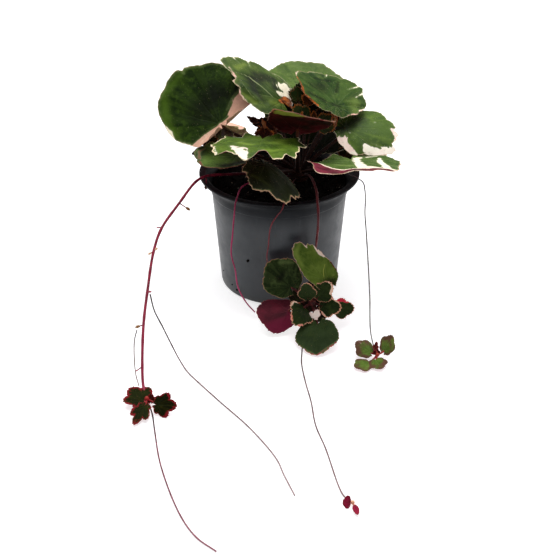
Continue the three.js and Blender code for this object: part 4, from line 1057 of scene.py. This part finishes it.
# Runners: the points that each one passes through, its looks, and its buds (from, to, size, colour).
runners = {
    "runner_left": {
        "radius": 1.0, "steps": 220, "colour": (132, 22, 48), "shade": (96, 14, 34), "hairs": 260,
        "points": [(6.1, -0.7, 88), (-15, -9, 92), (-38, -15, 94), (-53, -18, 94), (-60, -25, 93),
                   (-71, -42, 84), (-82, -62, 74), (-86, -78, 65), (-88, -104, 49), (-89, -121, 37),
                   (-89, -136, 23), (-88.5, -147, 8), (-86.5, -155, 3)],
        "buds": [((-53, -19, 94), (-53, -26.5, 89.3), 1.7, "brown"),
                 ((-71, -42, 84), (-65, -43, 80), 1.5, "tan"),
                 ((-81.5, -61, 74.5), (-84.5, -61, 74.5), 0.8, "rose"),
                 ((-86, -78, 65), (-88.5, -79, 64), 1.1, "cream"),
                 ((-86, -78, 65), (-84, -78, 67), 1.1, "cream"),
                 ((-88, -104, 49), (-86.5, -104, 49), 1, "rose"),
                 ((-89, -123, 35.5), (-93, -123, 34), 1.4, "tan"),
                 ((-89, -145, 17.5), (-92, -145, 15), 0.7, "rose")],
    },
    "runner_left_branch": {
        "radius": 0.45, "steps": 160, "colour": (136, 112, 112), "shade": (100, 76, 80), "hairs": 90,
        "points": [(-86.3, -104.3, 47.3), (-84, -107, 36), (-79, -110, 25), (-73, -114, 12), (-68, -119, 4),
                   (-62, -128, 0.9), (-53, -140, 0.7), (-38, -159, 0.7), (-18, -184, 0.7), (-2, -210, 0.7),
                   (2, -222, 0.7), (8, -238, 0.7)],
    },
    "runner_left_thread": {
        "radius": 0.35, "steps": 50, "colour": (120, 96, 92), "shade": (96, 76, 72), "hairs": 16,
        "points": [(-93.4, -124.6, 32.4), (-94.3, -131, 29), (-94, -138, 23.5), (-92.5, -147, 13.5),
                   (-90, -153, 9)],
    },
    "runner_left_tip": {
        "radius": 0.45, "steps": 110, "colour": (128, 66, 80), "shade": (96, 44, 56), "hairs": 60,
        "points": [(-82.7, -164.3, 3.6), (-80, -170, 1), (-76.5, -185, 0.7), (-69, -215, 0.7),
                   (-54, -252, 0.7), (-44, -267, 0.7), (-33, -276, 0.7)],
    },
    "runner_front_left": {
        "radius": 0.55, "steps": 150, "colour": (150, 34, 78), "shade": (104, 22, 50), "hairs": 70,
        "points": [(8.9, -4, 88), (-8, -24, 95), (-26, -40, 96), (-29.5, -51.5, 92.4), (-30.5, -55, 90),
                   (-31.5, -56, 82), (-33, -56, 67), (-34.5, -56, 51), (-32, -57, 38), (-30, -58, 23),
                   (-24, -60, 11), (-18, -63, 5)],
    },
    "runner_front_middle": {
        "radius": 0.45, "steps": 140, "colour": (104, 30, 38), "shade": (76, 22, 28), "hairs": 60,
        "points": [(12.7, -5.7, 87.5), (9, -30, 93), (4, -55, 93), (3, -60.5, 92.2), (1.5, -62.8, 89),
                   (-2, -62.5, 84), (-6, -62, 76), (-8, -58, 57), (-9, -55, 48), (-8, -53, 40), (0, -54, 30),
                   (10, -62, 24)],
    },
    "runner_front_right": {
        "radius": 0.9, "steps": 150, "colour": (88, 22, 26), "shade": (62, 16, 20), "hairs": 120,
        "points": [(16.7, -5.4, 87.6), (22, -25, 97), (25.5, -45, 96), (26, -57, 92.8), (26.5, -62.5, 87),
                   (26.6, -63, 75), (26.5, -58, 66), (26.3, -53, 56), (26, -50, 50), (25, -52, 42),
                   (24, -60, 32), (24, -69, 26)],
    },
    "runner_right": {
        "radius": 0.45, "steps": 170, "colour": (104, 98, 98), "shade": (76, 66, 68), "hairs": 80,
        "points": [(21.4, -0.3, 88), (38, -9, 94), (51, -15, 94), (57.2, -19, 92.5), (60.8, -22, 90.6),
                   (62, -26, 86), (62, -32, 81), (61.3, -40, 75), (61.5, -50, 68), (62, -68, 53),
                   (62.4, -88, 35), (62.6, -103, 16), (65, -110.8, 6.5)],
    },
    "runner_front_tip": {
        "radius": 0.45, "steps": 140, "colour": (110, 80, 80), "shade": (80, 56, 60), "hairs": 70,
        "points": [(20, -84, 6), (16.5, -97, 2.5), (15.5, -107, 0.8), (15, -119, 0.7), (17, -139, 0.7),
                   (20, -159, 0.7), (22, -181, 0.7), (27, -201, 0.7), (33, -232, 0.7), (35, -238, 0.7),
                   (38.3, -242.6, 1.4)],
    },
}
budColours = {"tan": ((150, 110, 70), (112, 72, 40)), "rose": ((205, 120, 130), (160, 60, 80)),
              "cream": ((232, 205, 170), (200, 140, 110)), "brown": ((84, 46, 24), (34, 18, 12))}
budShape = {"stalk": 0.4, "length": 2.6, "radius": 0.72}
runnerHair = {"length": 0.9 * mm, "width": 0.05 * mm, "colours": ((190, 130, 130), (150, 70, 80))}


def budParts(start, end, size, material):
    # A slim stalk that ends in a pointed body of overlapping scales: a sine bulge with rings on it.
    start, end = np.array(start, float), np.array(end, float)
    stalk = sweep(np.linspace(start, end, 8) * mm, np.full(8, budShape["stalk"] * mm), 8)
    t = np.linspace(0.02, 0.98, 14)
    path = end + unit(end - start) * (t[:, None] - 0.45) * budShape["length"] * size
    radii = budShape["radius"] * size * mm * np.sin(math.pi * t**0.8) ** 0.7 * (1 + 0.12 * np.sin(14 * t))
    return [stalk, sweep(path * mm, radii, 12, material)]


def makeRunners():
    buds = {k: stemFinish(k + "Bud", colour, shade, colour, 0.6) for k, (colour, shade) in budColours.items()}
    fuzz = hairFinish("runnerHair", *runnerHair["colours"])
    for number, (name, r) in enumerate(runners.items()):
        path = catmullRom(r["points"], r["steps"]) * mm
        t = np.linspace(0, 1, len(path))
        knots = 1 + 0.12 * np.sin(t * r["steps"] * 0.21 + number) ** 8  # faint swellings
        parts = [sweep(path, r["radius"] * mm * knots * (1 - 0.08 * t), 14 if r["radius"] > 0.6 else 9)]
        for start, end, size, kind in r.get("buds", ()):
            parts += budParts(start, end, size, 2 + list(buds).index(kind))
        hair = (r["hairs"], runnerHair["length"], runnerHair["width"])
        parts.append(tubeHairs(path, r["radius"] * mm, *hair, 1, 500 + number))
        pale = [min(255, c + 45) for c in r["colour"]]
        skin = stemFinish(name + "_skin", r["colour"], r["shade"], pale, start=(0.1, 0.3))
        makePiece(name + "_stem", parts, [skin, fuzz, *buds.values()], [name])


makeRunners()
print("runners done")

# Plantlets: each is a short stem with its stalks and small blades. The numbers of hairs on a blade's face and
# rim go by its radius in millimetres.
plantlets = {
    "plantlet_left": {
        "stem": (-84, -161, 5), "stemRadius": 1.8, "stalk": 0.6,
        "colours": ((150, 26, 36), (110, 18, 26), (196, 66, 44)), "blades": [
            blade((-86, -162.5, 4.4), 132, 6, 0, 9.5, lobed, redLook, notch=0.2, width=1.08),
            blade((-77, -167, 5.4), -10, 4, 42, 8, lobed, redLook, notch=0.24),
            blade((-84.8, -168, 4.8), -110, -12, -5, 9, lobed, redLook, width=0.7),
            blade((-81.5, -163, 4.2), 90, 50, 0, 3.2, lobed, redLook, width=1.3,
                  greens=((70, 16, 16), (40, 12, 10), (130, 40, 24))),
            blade((-87.5, -165.5, 3.2), -130, 10, 0, 4.6, lobed, redLook, width=0.7,
                  greens=((84, 18, 24), (48, 14, 14), (150, 50, 40))),
        ],
    },
    "plantlet_front": {
        "stem": (23, -74, 21), "stemRadius": 3, "stalk": 0.9,
        "colours": ((74, 20, 24), (40, 11, 14), (150, 70, 60)), "blades": [
            blade((33, -70, 37), 147, 40, -36, 21, small, darkLook, rows=24, width=0.66, across=-0.2,
                  cuts={-125: 1, -105: 0.88, -85: 0.76, -64: 0.72, -45: 0.74, -32: 0.84, -22: 0.96, -12: 1,
                  7: 1, 12: 0.98, 15: 0.88, 19: 0.97, 29: 1, 35: 0.86, 42: 0.86, 48: 0.77, 58: 0.8, 69: 0.88,
                  85: 1}, greens=((84, 104, 36), (62, 84, 24), (122, 140, 62)), rim=(206, 160, 136),
                  cream=(240, 218, 200), vein=(120, 130, 76), rimWide=0.025, rib=(170, 172, 84),
                  dry=(120, 44, 34), strokes=(("cream", ((14, 98), (15, 86)), (4, 2), 0.1),
                  ("cream", ((31, 98), (36, 86), (44, 79), (54, 80)), (3, 8, 8, 2), 0.15),
                  ("dry", ((58, 82), (75, 92), (95, 100)), (1.5, 2, 1)),
                  ("glow", ((8, 95), (-12, 90), (-28, 70)), (10, 16, 12)),
                  ("rib", ((49, 50), (35, 28), (-10, 6)), (1.2, 1.2)),
                  ("dark", ((-170, 20), (150, 50), (130, 80)), (20, 30, 25)))),
            blade((8, -69, 31), 149, 36, -52, 15, small, darkLook, rows=18, along=0.15,
                  greens=((34, 46, 18), (22, 33, 11), (90, 106, 60)), rim=(150, 110, 84), rimWide=0.03,
                  strokes=(("glow", ((20, 85), (50, 90)), (18, 14)),
                  ("dark", ((-10, 40), (20, 50)), (30, 20)))),
            blade((7, -75, 14), 185, -12, 153, 15, small, darkLook, rows=18, across=-0.6, along=0.4,
                  unders=((106, 38, 52), (72, 28, 38), (120, 58, 70)), underGlow=(108, 30, 54),
                  strokes=(("glow", ((40, 85), (90, 80), (140, 85)), (50, 60, 50)),)),
            blade((17, -79, 19.5), -100, 2, -40, 10.5, teethed, darkLook, lobes=5, along=0.5,
                  dry=(176, 70, 44), strokes=(("cream", ((52, 100), (80, 98), (108, 86)), (5, 8, 6), 0.15),
                  ("cream", ((10, 100), (22, 100)), (5, 8), 0.9),
                  ("cream", ((-20, 100), (-8, 100)), (8, 5), 0.6), ("dry", ((96, 90), (112, 80)), (5, 6)))),
            blade((20, -77, 27), 134, 80, -45, 7, teethed, darkLook, lobes=5),
            blade((28, -77, 28), 20, 45, 50, 8, teethed, darkLook, lobes=5,
                  strokes=(("cream", ((-12, 100), (12, 98), (34, 100)), (4, 10, 16), 0.1),)),
            blade((31, -79, 21), -10, 0, 55, 8, teethed, darkLook, lobes=5, rimWide=0.1,
                  strokes=(("cream", ((-100, 95), (-60, 98), (-42, 100), (-18, 100)), (10, 16, 14, 8), 0.1),
                  ("cream", ((70, 98), (100, 95)), (6, 8), 0.4))),
            blade((41, -74, 15.5), 15, -8, 58, 8.5, teethed, darkLook, lobes=5, width=0.92,
                  pink=(196, 44, 66),
                  strokes=(("cream", ((-30, 95), (-60, 90), (-90, 95)), (10, 20, 12), 1),)),
            blade((27, -88, 11.5), -95, -18, 8, 15.5, small, darkLook, rows=18, along=0.1,
                  greens=((46, 62, 31), (33, 48, 21), (58, 72, 30)), pink=(140, 46, 64), rimWide=0.02,
                  rimShare=0.35, strokes=(("cream", ((-42, 99), (0, 100), (30, 100)), (2.5, 2, 1), 1),)),
            blade((20.5, -78, 17), 90, 58, 0, 5.5, teethed, darkLook,
                  greens=((20, 8, 7), (8, 4, 4), (70, 26, 18)), rim=(120, 40, 34)),
            blade((24.5, -84, 14.5), 60, 56, 0, 3.9, teethed, darkLook, width=1.2,
                  cuts={-180: 0.9, -125: 0.6, -75: 1.15, -25: 0.6, 20: 1.2, 65: 0.7, 115: 1.1, 180: 0.9},
                  greens=((255, 244, 236), (246, 214, 204), (255, 250, 244)), rim=(190, 110, 100),
                  vein=(255, 236, 226), veins=0, rimShare=0.5, halo=(250, 230, 220)),
            blade((13, -72, 20), 90, 58, 0, 7, teethed, darkLook,
                  greens=((32, 24, 14), (20, 12, 9), (58, 72, 30)), rim=(90, 44, 34)),
            blade((27, -72, 28), 90, 58, 0, 7.5, teethed, darkLook,
                  greens=((28, 22, 14), (16, 11, 9), (58, 72, 30)), rim=(90, 44, 34)),
            blade((27, -74, 19), 90, 58, 0, 5.5, teethed, darkLook,
                  greens=((24, 16, 12), (12, 8, 7), (58, 72, 30)), rim=(120, 60, 50)),
            blade((28.5, -81, 9.5), 85, 58, 0, 5, teethed, darkLook,
                  greens=((30, 26, 14), (16, 12, 8), (58, 72, 30)), rim=(90, 44, 34)),
            blade((30, -76, 11), 80, 58, 0, 6, teethed, darkLook,
                  greens=((30, 26, 14), (16, 12, 8), (58, 72, 30)), rim=(90, 44, 34)),
            blade((18, -78, 10), -150, 10, 0, 5.5, teethed, darkLook,
                  greens=((30, 20, 13), (16, 10, 7), (58, 72, 30))),
        ],
    },
    "plantlet_right": {
        "stem": (67, -113, 3.5), "stemRadius": 1.5, "stalk": 0.6,
        "colours": ((176, 60, 56), (130, 36, 40), (206, 110, 80)), "blades": [
            blade((62, -112, 5), 150, 23, -19, 7.4, tiny, brownLook, notch=0.13, across=0.3,
                  cream=(232, 205, 180), strokes=(("cream", ((10, 75), (10, 100)), (5, 12), 0),)),
            blade((72, -110, 5), 30, 60, 0, 7.4, tiny, brownLook, notch=0.13),
            blade((65.5, -117.5, 2.5), -74, 0, 8, 6.2, tiny, brownLook, notch=0.13, width=1.1),
            blade((60, -120.5, 1.8), -155, 4, -5, 6.6, tiny, brownLook, notch=0.13),
            blade((65.5, -112, 8), 70, 60, 0, 3, lobed, redLook, lobes=5, width=0.7,
                  greens=((120, 40, 34), (70, 20, 20), (190, 90, 84))),
            blade((66.5, -113, 4.5), 95, 60, 0, 2.6, lobed, redLook, lobes=5,
                  greens=((76, 18, 18), (36, 10, 10), (130, 44, 34))),
        ],
    },
    "plantlet_tip": {
        "stem": (39.5, -244, 1.8), "stemRadius": 1.2, "stalk": 0.5,
        "colours": ((226, 170, 140), (196, 110, 80), (235, 205, 170)), "blades": [
            blade((37.5, -245.5, 3.4), -170, 10, -60, 3.8, tiny, redLook, lobes=5, cuts={-180: 0.55,
                  -140: 0.7, -90: 1.1, -45: 0.75, 0: 0.6, 45: 0.75, 90: 1.2, 140: 0.7, 180: 0.55},
                  greens=((150, 30, 60), (110, 20, 46), (180, 50, 80))),
            blade((40.5, -247, 2), -80, 0, 0, 3.6, tiny, redLook, lobes=5, width=0.5,
                  greens=((150, 30, 60), (110, 20, 46), (180, 50, 80))),
        ],
    },
}
plantletHair = {"length": 0.8 * mm, "width": 0.05 * mm, "bladeWidth": 0.06 * mm, "stalk": 24, "face": 4,
                "rim": 5, "colours": ((220, 150, 120), (200, 80, 80))}


def makePlantlets():
    for number, (name, plantlet) in enumerate(plantlets.items()):
        middle = np.array(plantlet["stem"], float)
        stemRadius, stalk = plantlet["stemRadius"], plantlet["stalk"]
        skin = stemFinish(name + "_skin", *plantlet["colours"])
        materials = [skin, hairFinish(name + "_hair", *plantletHair["colours"])]
        rise = np.linspace(-1.45, 1.45, 14)
        stem = middle + np.stack([0 * rise, 0 * rise, np.sin(rise) * stemRadius], -1)
        parts = [sweep(stem * mm, stemRadius * np.cos(rise) * mm, 20)]
        for order, b in enumerate(plantlet["blades"]):
            seed, top, label = 900 + 20 * number + order, len(materials), f"{name}_{order + 1}"
            materials += [bladeTop(label + "_top", b), bladeUnder(label + "_under", b)]
            end = np.array(b["at"], float) - bladeNormal(b) * crown["seat"]
            arrive = end - bladeNormal(b) * 0.2 * np.linalg.norm(end - middle)
            path = bezier([middle, arrive, end], 20) * mm
            counts = [int(plantletHair[k] * b["radius"]) for k in ("face", "rim")]
            length, width = plantletHair["length"], plantletHair["width"]
            parts += [
                bladePart(b, seed, top, top + 1),
                sweep(path, np.linspace(1.15, 0.85, len(path)) * stalk * mm, 10),
                tubeHairs(path, stalk * mm, plantletHair["stalk"], length, width, 1, seed + 5),
                bladeHairs(b, counts, length, plantletHair["bladeWidth"], 1, seed + 7),
            ]
        makePiece(name + "_rosette", parts, materials, [name])


makePlantlets()
print("plantlets done")

# Stage: a flat pale floor under soft light.
stage = {"floor": ((190, 190, 192), (214, 214, 216)), "half": 3, "drop": 0.00005, "world": 0.28, "glow": 0.62}
lights = {
    "overhead": {"at": (0, 0.25, 1.2), "aim": (0, 0, 0.05), "size": 1.3, "power": 19},
    "leftBack": {"at": (-1.0, 0.6, 0.5), "aim": (0, 0, 0.08), "size": 0.8, "power": 5},
    "rightBack": {"at": (1.0, 0.5, 0.5), "aim": (0, 0, 0.08), "size": 0.8, "power": 6},
}


def makeStage():
    side = np.linspace(-stage["half"], stage["half"], 13)
    x, y = np.meshgrid(side, side)
    points = np.stack([x, y, 0 * x - stage["drop"]], -1).reshape(-1, 3)
    sheet = {"points": points, "quads": gridQuads(13, 13), "tris": np.zeros((0, 3), int), "material": 0}
    floor = addObject("floor", makeMesh("floor", [sheet])[0])
    f = Finish("whiteFloor", 0.9, 0.1)
    f.shader["Emission Color"].default_value = (1, 1, 1, 1)
    f.shader["Emission Strength"].default_value = stage["glow"]
    f.colour = f.mix(f.patch(0.3, 0.7, 3, 2), *stage["floor"])
    floor.data.materials.append(f.finish())
    world = bpy.data.worlds.new("studio")
    world.use_nodes = True
    world.node_tree.nodes["Background"].inputs["Color"].default_value = (1, 1, 1, 1)
    world.node_tree.nodes["Background"].inputs["Strength"].default_value = stage["world"]
    bpy.context.scene.world = world
    for name, light in lights.items():
        data = bpy.data.lights.new(name, "AREA")
        data.shape, data.size, data.energy = "DISK", light["size"], light["power"]
        lamp = addObject(name, data)
        lamp.location = light["at"]
        aim = unit(np.array(light["aim"]) - light["at"])
        lamp.rotation_euler = (math.acos(-aim[2]), 0, math.atan2(aim[1], aim[0]) - math.pi / 2)
    bpy.context.scene.view_settings.view_transform = "Standard"


makeStage()
print("stage and light done")
